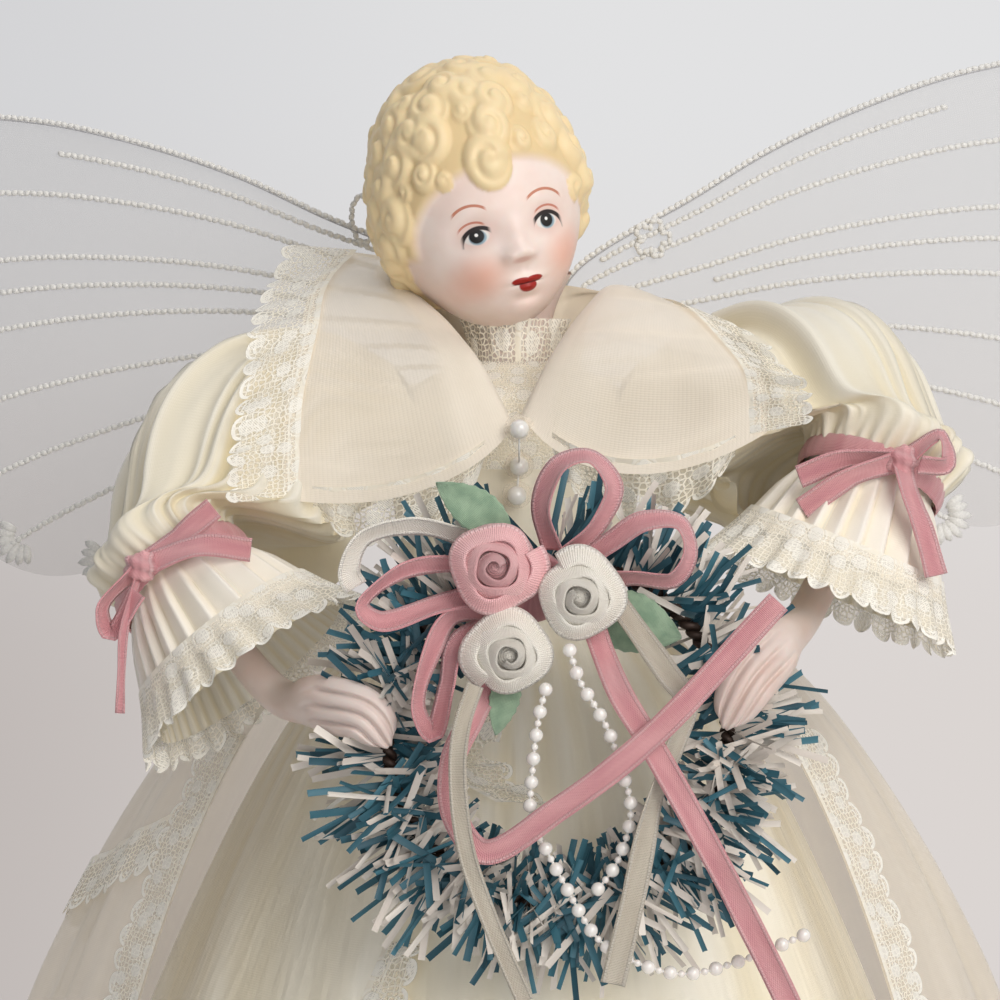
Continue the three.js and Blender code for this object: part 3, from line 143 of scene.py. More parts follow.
# Routes of the ribbons and strands from the bouquet's pad: across, forward, up.
STRANDS = {
    "pearl_strand_long": (
        (2.6, 10, -15.6), (1.2, 12, -21), (0.2, 13, -29), (0, 13, -38.6), (2.3, 13, -43),
        (5.1, 13, -48.4), (11.6, 13, -59), (18.3, 12.4, -63), (26, 11, -65), (35.3, 10, -63),
        (47, 9, -58.4),
    ),
    "pearl_strand_short": (
        (6.1, 11, -8.8), (8, 13, -14.6), (10.8, 13.6, -19.2), (13, 13.6, -23.4), (15.2, 13, -30.1),
        (16.6, 12.6, -35.2), (16.4, 12.4, -39.5), (14.2, 12.2, -46), (10.6, 12.2, -51),
    ),
}
TAILS = {
    "tail_pink_cross": (
        (-5, BEHIND_ROSE, -13.5), (-7.6, BEHIND_ROSE, -17.8), (-10, 10.4, -21.5), (-13.2, 14, -28),
        (-13, 15, -37), (-8, 15.6, -43.2), (4.7, 17, -35.5), (19.7, 17.6, -23.6), (41, 17, -0.8),
    ),
    "tail_pink_long": (
        (10.6, BEHIND_ROSE, -6.5), (12.4, 7, -11.5), (15.2, 13.2, -17.4), (19.8, 16, -24.7),
        (31.6, 16, -46), (42.7, 16, -68), (45.3, 16, -74),
    ),
    "tail_white_left": (
        (-9.4, 13.6, -15.2), (-11.6, 17, -21.5), (-12.4, 19.2, -28.5), (-11, 19.4, -42),
        (-7, 19.4, -54), (-1.1, 19, -68),
    ),
    "tail_white_right": (
        (14.2, BEHIND_ROSE - 1, -2), (18.6, 6, -8), (22.6, 10, -13.4), (26.2, 13.8, -18.6),
        (24.6, 14.3, -24.1), (20.7, 14.3, -34.3), (16.9, 14.6, -52.3), (13.7, 14.6, -66),
    ),
}
# Hue of each tail, its turns about its own line, and its share of the ribbon's width.
TAIL_LOOKS = {
    "tail_pink_cross": ("pink", (0.3, 0.1, 0.5, 0.0, -0.1), 1.0),
    "tail_pink_long": ("pink", (0.4, 0.2, -0.15, 0.1), 1.0),
    "tail_white_left": ("white", (0.2, -0.2, 0.15, 0.0), 0.7),
    "tail_white_right": ("white", (0.6, 0.5, 0.9, 0.2, 0.1), 1.0),
}
PINK_LOOPS = (
    ((3.5, 2, 6), (1.5, 5, 14), (4.7, 8, 21.4), (9.8, 8.5, 22.7), (13.8, 7.5, 17.6), (11.5, 5, 11),
     (6, 2, 5)),
    ((7, 2, 3), (13, 4, 7.5), (19, 7, 11.6), (25, 8, 11.4), (26.7, 8, 6.6), (24, 6, 1.5),
     (17, 4, 1.5), (7.5, 2, 0.5)),
    ((-6.5, 2.2, 2.6), (-14, 4.5, 4), (-22, 8, 3), (-28.4, 10, -2.5), (-25.5, 9, -5.1),
     (-15.4, 6, -2.5), (-6.5, 2.9, -1)),
    ((-6, 2.6, -4.5), (-13.4, 5.5, -5), (-17, 9, -11), (-19, 10, -20), (-16.6, 10, -24),
     (-14.4, 8, -16.5), (-12.6, 5, -9.6), (-6, 2.6, -6.5)),
)
BUTTONS = ((0.6, -35.6, 239.3), (0.6, -26.6, 231.9), (0.2, -26.6, 226.6))
WHITE_LOOP = (
    (-9.2, 3, 7.2), (-13, 4, 9), (-20.4, 7, 10.7), (-28.4, 9, 8.6), (-30.6, 9, 3), (-29.5, 8.5, 0.5),
)
ROSES = {
    "rose_pink": (-6.1, 4.4, 7.6, 0.4),
    "rose_white_right": (8.0, -0.9, 7.1, 2.1),
    "rose_white_left": (-3.7, -10.6, 7.1, 4.0),
}
LEAVES = {
    "leaf_top": ((-3.5, 9.5), (-16, 18), 3.6, BEHIND_ROSE),
    "leaf_right": ((9.4, -3.8), (25.5, -9), 5.2, 1.1),
    "leaf_bottom": ((-3.2, -13), (-6, -25), 2.6, BEHIND_ROSE - 0.6),
}
# Bow ribbons at the gathers, from the elbow: route, turn about its own line, and share of the width.
SLEEVE_BOWS = {
    "left": ((-0.5, -1, 0.3), (
        (((1, -12, 10), (6, -11, 14)), 0.2, 0.95),
        (((4, -15, 8), (12.6, -14, 7)), 0.2, 0.95),
        (((-13, -15.5, -3), (-11.5, -17, -7), (-7, -16.5, 0)), 0.7, 0.95),
        (((-9, -19, -6), (-9.3, -22, -13), (-9.5, -24, -20)), 0.3, 0.36),
    )),
    "right": ((0.3, -1, 0.3), (
        (((-6, -17, 5), (-14, -17.5, 2)), 0.2, 0.95),
        (((-5, -18, 2), (-13.5, -18.5, -3.5)), 0.1, 0.95),
        (((11, -14, 9), (12, -15.5, 4), (7, -17, 4)), 0.7, 0.95),
        (((5, -19, 0), (7.5, -21, -7), (9.5, -23, -14.5)), 0.3, 0.95),
    )),
}
# Collar lapels, from the arm hole's middle: neckline, roll, outer edge, from the back to the front.
LAPELS = {
    "left": (
        ((-9, 8, 11.4), (-21, 16, 28), (-33, 20, 32)),
        ((-12, 1, 11), (-21.5, 4.5, 27.5), (-38, 5, 25)),
        ((-11, -9, 10.2), (-12, -15, 20.5), (-39, -15, 18)),
        ((-6, -18.4, 7.8), (-6, -25.5, 13), (-41, -33, 4)),
        ((-1.6, -23.6, 1.8), (-0.8, -32.5, 3), (-41, -39, -9)),
    ),
    "right": (
        ((9, 8, 11.4), (17, 12, 25), (27, 2, 23)),
        ((12, 1, 11), (15.5, -2, 25.5), (34, -16, 22)),
        ((11, -9, 10.2), (9.8, -15, 19.8), (39.5, -29, 17)),
        ((6, -18.4, 7.8), (5.3, -25.5, 13), (43.5, -38, 11.5)),
        ((1.6, -23.6, 1.8), (1.4, -33, 5), (44, -42, 3)),
    ),
}
COLLAR_BACK = ((0, 10.6, 11.6), (0, 17.5, 20.5), (0, 21, 27))
# Loose lace on the skirt's front: degrees from the front and hundredths of the drop, and its width.
FRONT_LACE = (
    (((-9, 7.5), (-11, 10), (-7, 12.5), (2, 14.5)), 10.0),
    (((-19, 26), (-22, 31), (-24, 36), (-27, 43)), 8.0),
)
WING_TOP = ((0, 8), (5, 16), (29, 29), (44, 37), (63, 44.5), (83, 50), (104, 52), (122, 48), (131, 39))
WING_TIPS = ((131, 39), (135, 23), (135, 9), (131, -5), (123, -17), (112, -27), (98, -34), (80, -38))
WING_BOTTOM = ((80, -38), (60, -28), (35, -16), (12, -9), (0, -8))
# Forearm and hand, from the elbow to the finger tips: share of the line, half width and half depth.
HAND_OUTLINE = (
    (0, 0.3, 0.3), (0.04, 3, 3), (0.3, 3, 3), (0.5, 3.3, 3), (0.6, 3.7, 3), (0.68, 4.6, 3.1),
    (0.77, 5.1, 3.1), (0.86, 4.8, 2.8), (0.93, 4.2, 2.4), (0.975, 3.1, 1.9), (0.995, 1.6, 1.1),
    (1.0, 0.05, 0.05),
)
FINGER_GROOVES = (-0.5, 0.02, 0.52)
# Curls of the moulded hair that the front shows: azimuth, elevation in degrees, radius.
CURLS = (
    (-40, 35, 4.5), (-6, 20, 4.9), (10, 46, 3.9), (-27, 60, 3.7), (38, 25, 3.1), (18, 26, 2.2),
    (-14, 44, 2.0), (-62, 52, 2.9), (36, 42, 2.2), (72, 71, 2.9), (71, 40, 2.9), (-72, 36, 2.4),
    (71, 17, 2.9), (-45, 19, 2.9), (-59, 14, 2.0), (53, -1, 2.4), (-34, 15, 1.8),
)


# Lines and surfaces

def unit(vectors):
    return vectors / np.maximum(np.linalg.norm(vectors, axis=-1, keepdims=True), 1e-9)


def smoothstep(values, low, high):
    share = np.clip((values - low) / (high - low), 0, 1)
    return share * share * (3 - 2 * share)


def between_rows(share, steps, rows):
    """Places between the rows of a table, which lie at the given steps."""
    return np.stack([np.interp(share, steps, rows[:, k]) for k in range(rows.shape[1])], -1)


def turned(places, angle, first, second):
    """Places turned from one axis towards another."""
    c, s = math.cos(angle), math.sin(angle)
    out = np.array(places, float)
    out[:, first] = c * places[:, first] - s * places[:, second]
    out[:, second] = s * places[:, first] + c * places[:, second]
    return out


def round_place(angle, radius, height):
    """A place at an angle from the front, a radius from the figure's middle and a height."""
    return np.stack((radius * np.sin(angle), -radius * np.cos(angle), height + 0 * radius), -1)


def smooth_line(points, by_points=False):
    """A smooth line through the points, as a function of the share of its length or of its points."""
    p = np.asarray(points, float)
    p = np.vstack((2 * p[0] - p[1], p, 2 * p[-1] - p[-2]))
    t = np.concatenate(([0], np.cumsum(np.sqrt(np.linalg.norm(np.diff(p, axis=0), axis=1)))))
    pieces, knots = [], []
    for i in range(1, len(p) - 2):
        s = np.linspace(t[i], t[i + 1], 24, endpoint=False)[:, None]

        def between(j, k, first, second):
            return ((t[k] - s) * first + (s - t[j]) * second) / (t[k] - t[j])

        a1 = between(i - 1, i, p[i - 1], p[i])
        a2 = between(i, i + 1, p[i], p[i + 1])
        a3 = between(i + 1, i + 2, p[i + 1], p[i + 2])
        pieces.append(between(i, i + 1, between(i - 1, i + 1, a1, a2), between(i, i + 2, a2, a3)))
        knots.append(i - 1 + np.linspace(0, 1, 24, endpoint=False))
    line = np.vstack((*pieces, p[-2][None]))
    run = np.concatenate(([0], np.cumsum(np.linalg.norm(np.diff(line, axis=0), axis=1))))
    steps = np.concatenate((*knots, [len(p) - 3])) if by_points else run

    def at(share):
        return between_rows(np.asarray(share, float) * steps[-1], steps, line)

    at.length = run[-1]
    return at


def line_direction(line, share):
    step = 2e-3
    return unit(line(np.minimum(share + step, 1)) - line(np.maximum(share - step, 0)))


def around(axis):
    """Two directions square to an axis, the first level."""
    axis = np.asarray(axis, float)
    level = unit(np.cross(axis, UP))
    return level, unit(np.cross(level, axis))


def map_cloth(bm, at, name="cloth"):
    """Gives each corner of the faces a place on the flat cloth, from its vertex."""
    layer = bm.loops.layers.uv.new(name)
    for face in bm.faces:
        for loop in face.loops:
            loop[layer].uv = at(loop.vert)


def cloth_mesh(at, columns, rows, closed=False, size=None, inside=None):
    """A grid bent to at(u, v). Its UV map counts millimetres, across and along."""
    bm = bmesh.new()
    bmesh.ops.create_grid(bm, x_segments=columns, y_segments=rows, size=0.5)
    flat = np.array([vert.co[:2] for vert in bm.verts]) + 0.5
    if size is None:
        spread = np.linspace(0, 1, 80)
        size = [
            np.linalg.norm(np.diff(at(*pair), axis=0), axis=1).sum()
            for pair in ((spread, np.full(80, 0.5)), (np.full(80, 0.5), spread))
        ]
    bm.verts.index_update()
    map_cloth(bm, lambda vert: flat[vert.index] * size)
    for vert, place in zip(bm.verts, at(flat[:, 0], flat[:, 1])):
        vert.co = place
    if closed:
        bmesh.ops.remove_doubles(bm, verts=bm.verts, dist=1e-3)
    bm.normal_update()
    if inside is not None:
        middle = Vector(inside)
        facing = sum(face.normal.dot(face.calc_center_median() - middle) for face in bm.faces)
        if facing < 0:
            bmesh.ops.reverse_faces(bm, faces=bm.faces)
    return bm


def mark_fold_shade(bm, rounds=12, under=0.5, most=1.0):
    """Marks how deep each place lies in a fold, from 0 on a ridge to 1 deep in a fold or underneath: a share of
    painted shade for the satins.
    """
    bm.verts.index_update()
    layer = bm.verts.layers.float.new("hollow")
    places = np.array([vert.co for vert in bm.verts])
    normals = np.array([vert.normal for vert in bm.verts])
    ends = np.array([[vert.index for vert in edge.verts] for edge in bm.edges])
    both = np.vstack((ends, ends[:, ::-1]))
    joined = np.bincount(both[:, 0], minlength=len(places))
    even = places
    for _ in range(rounds):
        total = [np.bincount(both[:, 0], even[both[:, 1], k], len(places)) for k in range(3)]
        even = (even + np.stack(total, -1) / joined[:, None]) / 2
    depth = ((even - places) * normals).sum(1)
    # Painted shade: the share grows in folds and, by under, on undersides that face down.
    share = 0.35 + 0.35 * depth / max(depth.std(), 1e-6) + under * smoothstep(-normals[:, 2], 0.1, 0.9)
    for vert, value in zip(bm.verts, most * np.clip(share, 0, 1)):
        vert[layer] = value
    return bm


def ribbon_surface(points, width, turns=(0.0,), crown=0.0, wave=0.0):
    """A flat ribbon along a smooth line. Turn 0 shows its face to the front."""
    line = smooth_line(points)

    def at(u, v):
        along = line_direction(line, v)
        flat = unit(np.cross(along, BACK))
        edge = unit(np.cross(flat, along))
        turn = np.interp(v, np.linspace(0, 1, len(turns)), turns)[:, None]
        wide = flat * np.cos(turn) + edge * np.sin(turn)
        thin = unit(np.cross(wide, along))
        across = (2 * u - 1)[:, None]
        lift = crown * (1 - across**2) + wave * across * np.sin(v * line.length * 0.35)[:, None]
        return line(v) + wide * across * width / 2 + thin * lift

    at.length = line.length
    return at


def ribbon_mesh(at, columns, rows, width):
    return cloth_mesh(at, columns, rows, False, (width, at.length))


def tube_surface(line, radius):
    """A round tube along a line. Its radius is a number or a function of the share of the line."""
    def at(u, v):
        along = line_direction(line, v)
        level = unit(np.cross(along, np.where(np.abs(along[:, 2:]) > 0.9, BACK, UP)))
        rise = np.cross(level, along)
        angle = (u * TAU)[:, None]
        wide = radius(v)[:, None] if callable(radius) else radius
        return line(v) + wide * (level * np.cos(angle) + rise * np.sin(angle))

    return at


def stamp(bm, template, move, finish=0):
    """One more copy of a small mesh, moved by a function of its places."""
    first = len(bm.verts)
    first_face = len(bm.faces)
    bm.from_mesh(template)
    bm.verts.ensure_lookup_table()
    bm.faces.ensure_lookup_table()
    fresh = bm.verts[first:]
    for vert, place in zip(fresh, move(np.array([vert.co for vert in fresh]))):
        vert.co = place
    for face in bm.faces[first_face:]:
        face.material_index = finish


def template_mesh(name, bm):
    mesh = bpy.data.meshes.new(name)
    bm.to_mesh(mesh)
    bm.free()
    return mesh


def small_mesh(name, create, **sizes):
    """A small mesh to stamp copies of, from one of the shape makers."""
    bm = bmesh.new()
    create(bm, **sizes)
    return template_mesh(name, bm)


def join_meshes(name, makers):
    """One bmesh from several, each with its finish number."""
    whole = bmesh.new()
    for bm, finish in makers:
        for face in bm.faces:
            face.material_index = finish
        part = template_mesh(name, bm)
        whole.from_mesh(part)
        bpy.data.meshes.remove(part)
    return whole


def add_piece(context, name, bm, body, finishes, stands_for=(), thickness=0.0):
    """A finished piece: its mesh in metres, its materials, its body and the nodes it stands for."""
    bmesh.ops.scale(bm, vec=(MM, MM, MM), verts=bm.verts)
    mesh = template_mesh(name, bm)
    mesh.polygons.foreach_set("use_smooth", np.ones(len(mesh.polygons), bool))
    for finish in finishes:
        mesh.materials.append(finish)
    piece = bpy.data.objects.new(name, mesh)
    context.scene.collection.objects.link(piece)
    if thickness:
        wall = piece.modifiers.new("thickness", "SOLIDIFY")
        wall.thickness = thickness * MM
        wall.offset = 0.0
    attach(piece, body)
    if stands_for:
        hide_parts(*stands_for)
    return piece


# Finishes

def tone(red, green, blue):
    """A colour as seen on a screen, 0 to 255, in the shader's own scale."""
    return tuple(
        c / 12.92 if c <= 0.04045 else ((c + 0.055) / 1.055) ** 2.4
        for c in (red / 255, green / 255, blue / 255)
    )


class Finish:
    """A material, with short ways to add the nodes that the finishes share."""

    def __init__(self, name, colour, roughness, **sockets):
        self.material = bpy.data.materials.new(name)
        self.material.use_nodes = True
        self.nodes = self.material.node_tree.nodes
        self.links = self.material.node_tree.links
        self.shader = self.nodes["Principled BSDF"]
        self.shader.inputs["Base Color"].default_value = (*colour, 1.0)
        self.shader.inputs["Roughness"].default_value = roughness
        for socket, value in sockets.items():
            self.shader.inputs[socket.replace("_", " ")].default_value = value

    def feed(self, value, socket):
        if isinstance(value, bpy.types.NodeSocket):
            self.links.new(value, socket)
        else:
            socket.default_value = value

    def node(self, kind, inputs=(), **settings):
        """The outputs of a new node, with its settings and its inputs fed by name or number."""
        node = self.nodes.new(f"ShaderNode{kind}")
        for name, value in settings.items():
            setattr(node, name, value)
        for socket, value in dict(inputs).items():
            self.feed(value, node.inputs[socket])
        return node.outputs

    def math(self, operation, first, second=0.0, clamp=False):
        return self.node("Math", {0: first, 1: second}, operation=operation, use_clamp=clamp)[0]

    def plus(self, first, second, clamp=False):
        return self.math("ADD", first, second, clamp)

    def less(self, first, second):
        return self.math("SUBTRACT", first, second)

    def times(self, first, second, clamp=False):
        return self.math("MULTIPLY", first, second, clamp)

    def most(self, first, second):
        return self.math("MAXIMUM", first, second)

    def apart(self, first, second):
        """Length of the step with these two parts."""
        return self.math("SQRT", self.plus(self.math("POWER", first, 2.0), self.math("POWER", second, 2.0)))

    def ease(self, value, low, high):
        inputs = {"Value": value, "From Min": low, "From Max": high}
        return self.node("MapRange", inputs, interpolation_type="SMOOTHSTEP")["Result"]

    def scale(self, value, low, high):
        return self.node("MapRange", {"Value": value, "To Min": low, "To Max": high})["Result"]

    def mix(self, share, low, high):
        low, high = ((*paint, 1.0) if isinstance(paint, tuple) else paint for paint in (low, high))
        return self.node("Mix", {0: share, 6: low, 7: high}, data_type="RGBA")[2]

    def places(self):
        return self.node("TexCoord")["Object"]

    def uv(self, name="cloth"):
        return self.node("UVMap", uv_map=name)["UV"]

    def attribute(self, name):
        return self.node("Attribute", attribute_name=name)["Fac"]

    def split(self, vector):
        across, along, _ = self.node("SeparateXYZ", {0: vector})
        return across, along

    def stretch(self, vector, x, y):
        return self.node("Mapping", {"Vector": vector, "Scale": (x, y, 1.0)})[0]

    def noise(self, vector, scale, detail=2.0):
        return self.node("TexNoise", {"Vector": vector, "Scale": scale, "Detail": detail})["Fac"]

    def cells(self, vector, scale, feature, randomness):
        inputs = {"Vector": vector, "Scale": scale, "Randomness": randomness}
        return self.node("TexVoronoi", inputs, voronoi_dimensions="2D", feature=feature)["Distance"]

    def threads(self, value, period):
        """Height of threads that lie side by side along a direction."""
        return self.math("ABSOLUTE", self.math("SINE", self.times(value, TAU / period)))

    def weave(self, period):
        """Height of two sets of threads that cross."""
        across, along = self.split(self.uv())
        return self.plus(self.threads(across, period), self.threads(along, period))

    def paint(self, colour, socket="Base Color"):
        self.links.new(colour, self.shader.inputs[socket])

    def veil(self, share, softness=0.65):
        """Share of the cloth that hides what is behind it. Sheer cloth casts a lighter shadow."""
        shadow = self.node("LightPath")["Is Shadow Ray"]
        light = self.less(1.0, self.times(shadow, softness))
        self.paint(self.times(share, light, True), "Alpha")

    def relief(self, height, distance, strength=1.0):
        inputs = {"Strength": strength, "Distance": distance * MM, "Height": height}
        self.paint(self.node("Bump", inputs)["Normal"], "Normal")


def made_once(make):
    """A finish that is made the first time its name is asked for."""
    def finish(context, name, *values):
        return bpy.data.materials.get(name) or make(name, context.scene, *values).material

    return finish


@made_once
def satin_finish(name, scene, gain=1.0, cool=1.0):
    colours = scene.topper_colours
    # Painted light: the gain makes a lighter copy of the shared satin's colours, and cool a bluer one.
    satin, shade, fold = (
        tuple(min(c * gain * w, 1.0) for c, w in zip(colour, (1, 1, cool)))
        for colour in (colours.satin, colours.satin_shade, colours.satin_fold)
    )
    f = Finish(name, satin, 0.36, Sheen_Weight=0.25, Specular_IOR_Level=0.5)
    across, along = f.split(f.uv())
    weave = f.plus(f.threads(across, 0.5), f.times(f.threads(along, 0.9), 0.5))
    cloud = f.noise(f.stretch(f.uv(), 0.07, 0.03), 1.0, 1.5)
    body = f.mix(f.ease(cloud, 0.35, 0.65), shade, satin)
    # Painted shade: the satin turns to its fold-shade colour in folds and on undersides.
    f.paint(f.mix(f.times(f.attribute("hollow"), 0.9), body, fold))
    f.paint(f.scale(f.noise(f.uv(), 0.8), 0.3, 0.46), "Roughness")
    creases = f.noise(f.stretch(f.uv(), 0.22, 0.06), 1.0, 1.0)
    f.relief(f.plus(f.times(weave, 0.03), creases), 1.0, 0.6)
    return f


@made_once
def organza_finish(name, scene, opacity, thicker=0.0):
    """Sheer cloth. Thicker is what its first 25 mm add, where it lies double."""
    colours = scene.topper_colours
    f = Finish(name, tuple(colours.organza), 0.45, Sheen_Weight=0.4, Specular_IOR_Level=0.5)
    weave = f.weave(0.7)
    haze = f.noise(f.stretch(f.uv(), 0.12, 0.03), 1.0, 3.0)
    # The same share makes the organza more opaque in its folds.
    folded = f.times(f.attribute("hollow"), 0.22)
    share = f.plus(f.scale(weave, opacity - 0.12, opacity), f.scale(haze, -0.1, 0.1))
    double = f.times(f.ease(f.split(f.uv())[0], 27.0, 24.5), thicker)
    f.veil(f.plus(f.plus(share, folded), double, True))
    f.paint(f.mix(haze, tuple(colours.organza_shade), tuple(colours.organza)))
    f.relief(weave, 0.06, 0.3)
    return f


@made_once
def lace_finish(name, scene, width, scallop=5.0, ground=0.9, lining=0.2):
    """Net lace with flowers in its ground, a sewn edge and a looped, scalloped edge at its width."""
    colours = scene.topper_colours
    f = Finish(name, tuple(colours.lace), 0.75, Sheen_Weight=0.3)
    across, along = f.split(f.uv())
    net = f.ease(f.cells(f.uv(), ground, "DISTANCE_TO_EDGE", 0.7), 0.2, 0.11)
    flower = f.cells(f.stretch(f.uv(), 0.2, 0.2), 1.0, "F1", 0.75)
    petals = f.plus(flower, f.times(f.noise(f.uv(), 0.9), 0.16))
    dense = f.ease(petals, 0.42, 0.36)
    ring = f.times(f.ease(petals, 0.42, 0.47), f.ease(petals, 0.58, 0.52))
    veins = f.scale(f.threads(f.plus(across, along), 0.9), 0.55, 1.0)
    scroll = f.most(f.times(dense, veins), f.times(ring, 0.5))
    phase = f.less(f.math("FRACT", f.math("DIVIDE", along, scallop)), 0.5)
    beyond = f.less(across, width - scallop * 0.5)
    radius = f.apart(f.times(phase, scallop), beyond)

    def within(outer, inner):
        return f.ease(radius, scallop * outer, scallop * inner)

    loops = f.most(f.times(within(0.5, 0.46), within(0.3, 0.36)), f.times(within(0.2, 0.16), within(0.06, 0.1)))
    edge = f.times(loops, f.ease(beyond, -0.4, 0.4))
    inside = f.most(f.ease(beyond, 0.2, -0.2), within(0.5, 0.46))
    seam = f.most(f.ease(across, 1.3, 1.0), f.times(f.ease(across, 2.0, 2.2), f.ease(across, 2.7, 2.5)))
    thread = f.most(f.most(net, scroll), f.most(edge, seam))
    f.veil(f.times(f.most(thread, lining), inside))
    f.paint(f.mix(f.most(scroll, edge), tuple(colours.lace_shade), tuple(colours.lace)))
    f.relief(f.plus(thread, f.times(scroll, 0.7)), 0.2, 0.7)
    return f


@made_once
def ribbon_finish(name, scene, colour, shade):
    """Ribbed satin ribbon with a stitched line along each edge."""
    f = Finish(name, colour, 0.3, Sheen_Weight=0.3, Specular_IOR_Level=0.8)
    across, along = f.split(f.uv())
    slant = f.threads(f.plus(across, f.times(along, 0.5)), 0.8)
    weave = f.plus(f.threads(along, 0.55), f.times(slant, 0.5))
    cloud = f.noise(f.stretch(f.uv(), 0.5, 0.08), 1.0, 1.0)
    width = scene.topper_sizes.ribbon_width / MM
    centre = f.math("ABSOLUTE", f.less(across, width / 2))
    edges = f.times(f.ease(centre, width * 0.33, width * 0.37), f.ease(centre, width * 0.47, width * 0.43))
    selvedge = f.times(f.scale(f.threads(along, 1.1), 0.35, 1.0), edges)
    pale = tuple(0.6 * c + 0.36 for c in colour)
    # Painted sheen: streaks along the ribbon that shift between its lit and shaded colours.
    f.paint(f.mix(f.times(selvedge, 0.5), f.mix(f.ease(cloud, 0.1, 0.9), shade, colour), pale))
    f.relief(f.plus(weave, f.times(selvedge, 2.0)), 0.14, 0.8)
    return f


def plain_ribbon(context, hue):
    """The ribbon of the bows and tails, pink or white."""
    colours = context.scene.topper_colours
    colour, shade = getattr(colours, hue), getattr(colours, f"{hue}_shade")
    return ribbon_finish(context, f"{hue}_satin_ribbon", tuple(colour), tuple(shade))


@made_once
def pearl_finish(name, scene):
    f = Finish(name, tuple(scene.topper_colours.pearl), 0.18, Coat_Weight=1.0, Coat_Roughness=0.06,
               Subsurface_Weight=0.1)
    cloud = f.noise(f.places(), 320.0, 2.0)
    f.paint(f.mix(cloud, tone(234, 222, 216), tone(254, 250, 244)))
    f.paint(f.scale(cloud, 0.16, 0.3), "Roughness")
    f.relief(f.noise(f.places(), 1600.0), 0.02, 0.2)
    return f


@made_once
def thread_finish(name, scene):
    f = Finish(name, tone(240, 238, 232), 0.55, Sheen_Weight=0.4)
    twist = f.noise(f.places(), 2600.0, 1.0)
    f.paint(f.mix(twist, tone(205, 204, 203), tone(250, 249, 245)))
    f.relief(twist, 0.1, 0.5)
    return f


@made_once
def leaf_finish(name, scene):
    colours = scene.topper_colours
    f = Finish(name, tuple(colours.leaf), 0.6, Sheen_Weight=0.3)
    cloud = f.noise(f.uv(), 0.35, 3.0)
    f.paint(f.mix(f.ease(cloud, 0.3, 0.7), tuple(colours.leaf_shade), tuple(colours.leaf)))
    f.relief(f.weave(0.5), 0.1, 0.7)
    return f


@made_once
def tinsel_finish(name, scene, dark, light, roughness):
    f = Finish(name, light, roughness, Specular_IOR_Level=0.4)
    streak = f.noise(f.places(), 300.0, 2.0)
    f.paint(f.mix(f.plus(f.times(f.attribute("strip_shade"), 0.75), f.times(streak, 0.25)), dark, light))
    f.paint(f.scale(streak, roughness - 0.1, roughness + 0.15), "Roughness")
    f.relief(streak, 0.08, 0.4)
    return f


@made_once
def wire_finish(name, scene, colour, metallic, roughness):
    f = Finish(name, colour, roughness, Metallic=metallic)
    grain = f.noise(f.places(), 900.0, 2.0)
    f.paint(f.mix(grain, tuple(0.6 * c for c in colour), colour))
    f.paint(f.scale(grain, roughness - 0.1, roughness + 0.15), "Roughness")
    f.relief(grain, 0.05, 0.4)
    return f


@made_once
def board_finish(name, scene, colour, shade, grain_scale):
    f = Finish(name, colour, 0.85)
    fibre = f.noise(f.places(), grain_scale, 6.0)
    speck = f.noise(f.places(), grain_scale * 6, 2.0)
    f.paint(f.mix(f.ease(fibre, 0.35, 0.7), shade, colour))
    f.relief(f.plus(fibre, speck), 0.3, 0.5)
    return f


@made_once
def wing_finish(name, scene):
    wing = tuple(scene.topper_colours.wing)
    f = Finish(name, wing, 0.3, Sheen_Weight=0.2, Specular_IOR_Level=0.5)
    weave = f.weave(0.8)
    haze = f.noise(f.stretch(f.uv(), 0.02, 0.03), 1.0, 3.0)
    f.veil(f.plus(f.scale(weave, 0.2, 0.3), f.scale(haze, -0.08, 0.1), True))
    f.paint(f.mix(haze, tone(178, 175, 174), wing))
    f.relief(weave, 0.04, 0.3)
    return f


def oval(f, x, z, centre, half_x, half_z, soft=0.12):
    """Share of paint inside an oval on the face."""
    dx, dz = (f.math("DIVIDE", f.less(place, middle), half)
              for place, middle, half in ((x, centre[0], half_x), (z, centre[1], half_z)))
    return f.ease(f.apart(dx, dz), 1 + soft, 1 - soft)


def stroke(f, x, z, points, width):
    """Share of paint on a thin brush stroke, an arc through three places on the face."""
    (ax, az), (bx, bz), (cx, cz) = points
    a, b, c = (px**2 + pz**2 for px, pz in points)
    d = 2 * (ax * (bz - cz) + bx * (cz - az) + cx * (az - bz))
    middle_x = (a * (bz - cz) + b * (cz - az) + c * (az - bz)) / d
    middle_z = (a * (cx - bx) + b * (ax - cx) + c * (bx - ax)) / d
    radius = math.hypot(ax - middle_x, az - middle_z)
    rise = f.less(z, middle_z)
    off = f.math("ABSOLUTE", f.less(f.apart(f.less(x, middle_x), rise), radius))
    thin = f.ease(off, width * 0.65, width * 0.35)
    ends = f.times(f.ease(x, ax - 0.3, ax + 0.5), f.ease(x, cx + 0.3, cx - 0.5))
    near = f.ease(f.times(rise, 1.0 if bz > middle_z else -1.0), -0.2, 0.2)
    return f.times(f.times(thin, ends), near)


# The face, in millimetres across and up from the head's middle.
EYES = ((-6.7, -4.9), (6.7, -4.9))
MOUTH = (0.9, -15.0)
NOSE = (0.2, -9.3)
BLUSHES = ((-7.6, -12.4), (10.2, -11.4))
# Painted ovals of an eye, from its middle: across, up, half sizes, softness, colour and cover.
EYE_OVALS = (
    (0, 0.4, 3.4, 2.6, 0.5, (214, 170, 158), 0.45),
    (0, 0, 2.15, 1.35, 0.12, (232, 228, 224), 1.0),
    (0.15, -0.1, 1.5, 1.3, 0.12, (150, 175, 190), 1.0),
    (0, 0.2, 1.3, 1.3, 0.12, (14, 11, 12), 1.0),
    (-0.05, 0.4, 0.3, 0.3, 0.3, (250, 250, 250), 1.0),
)
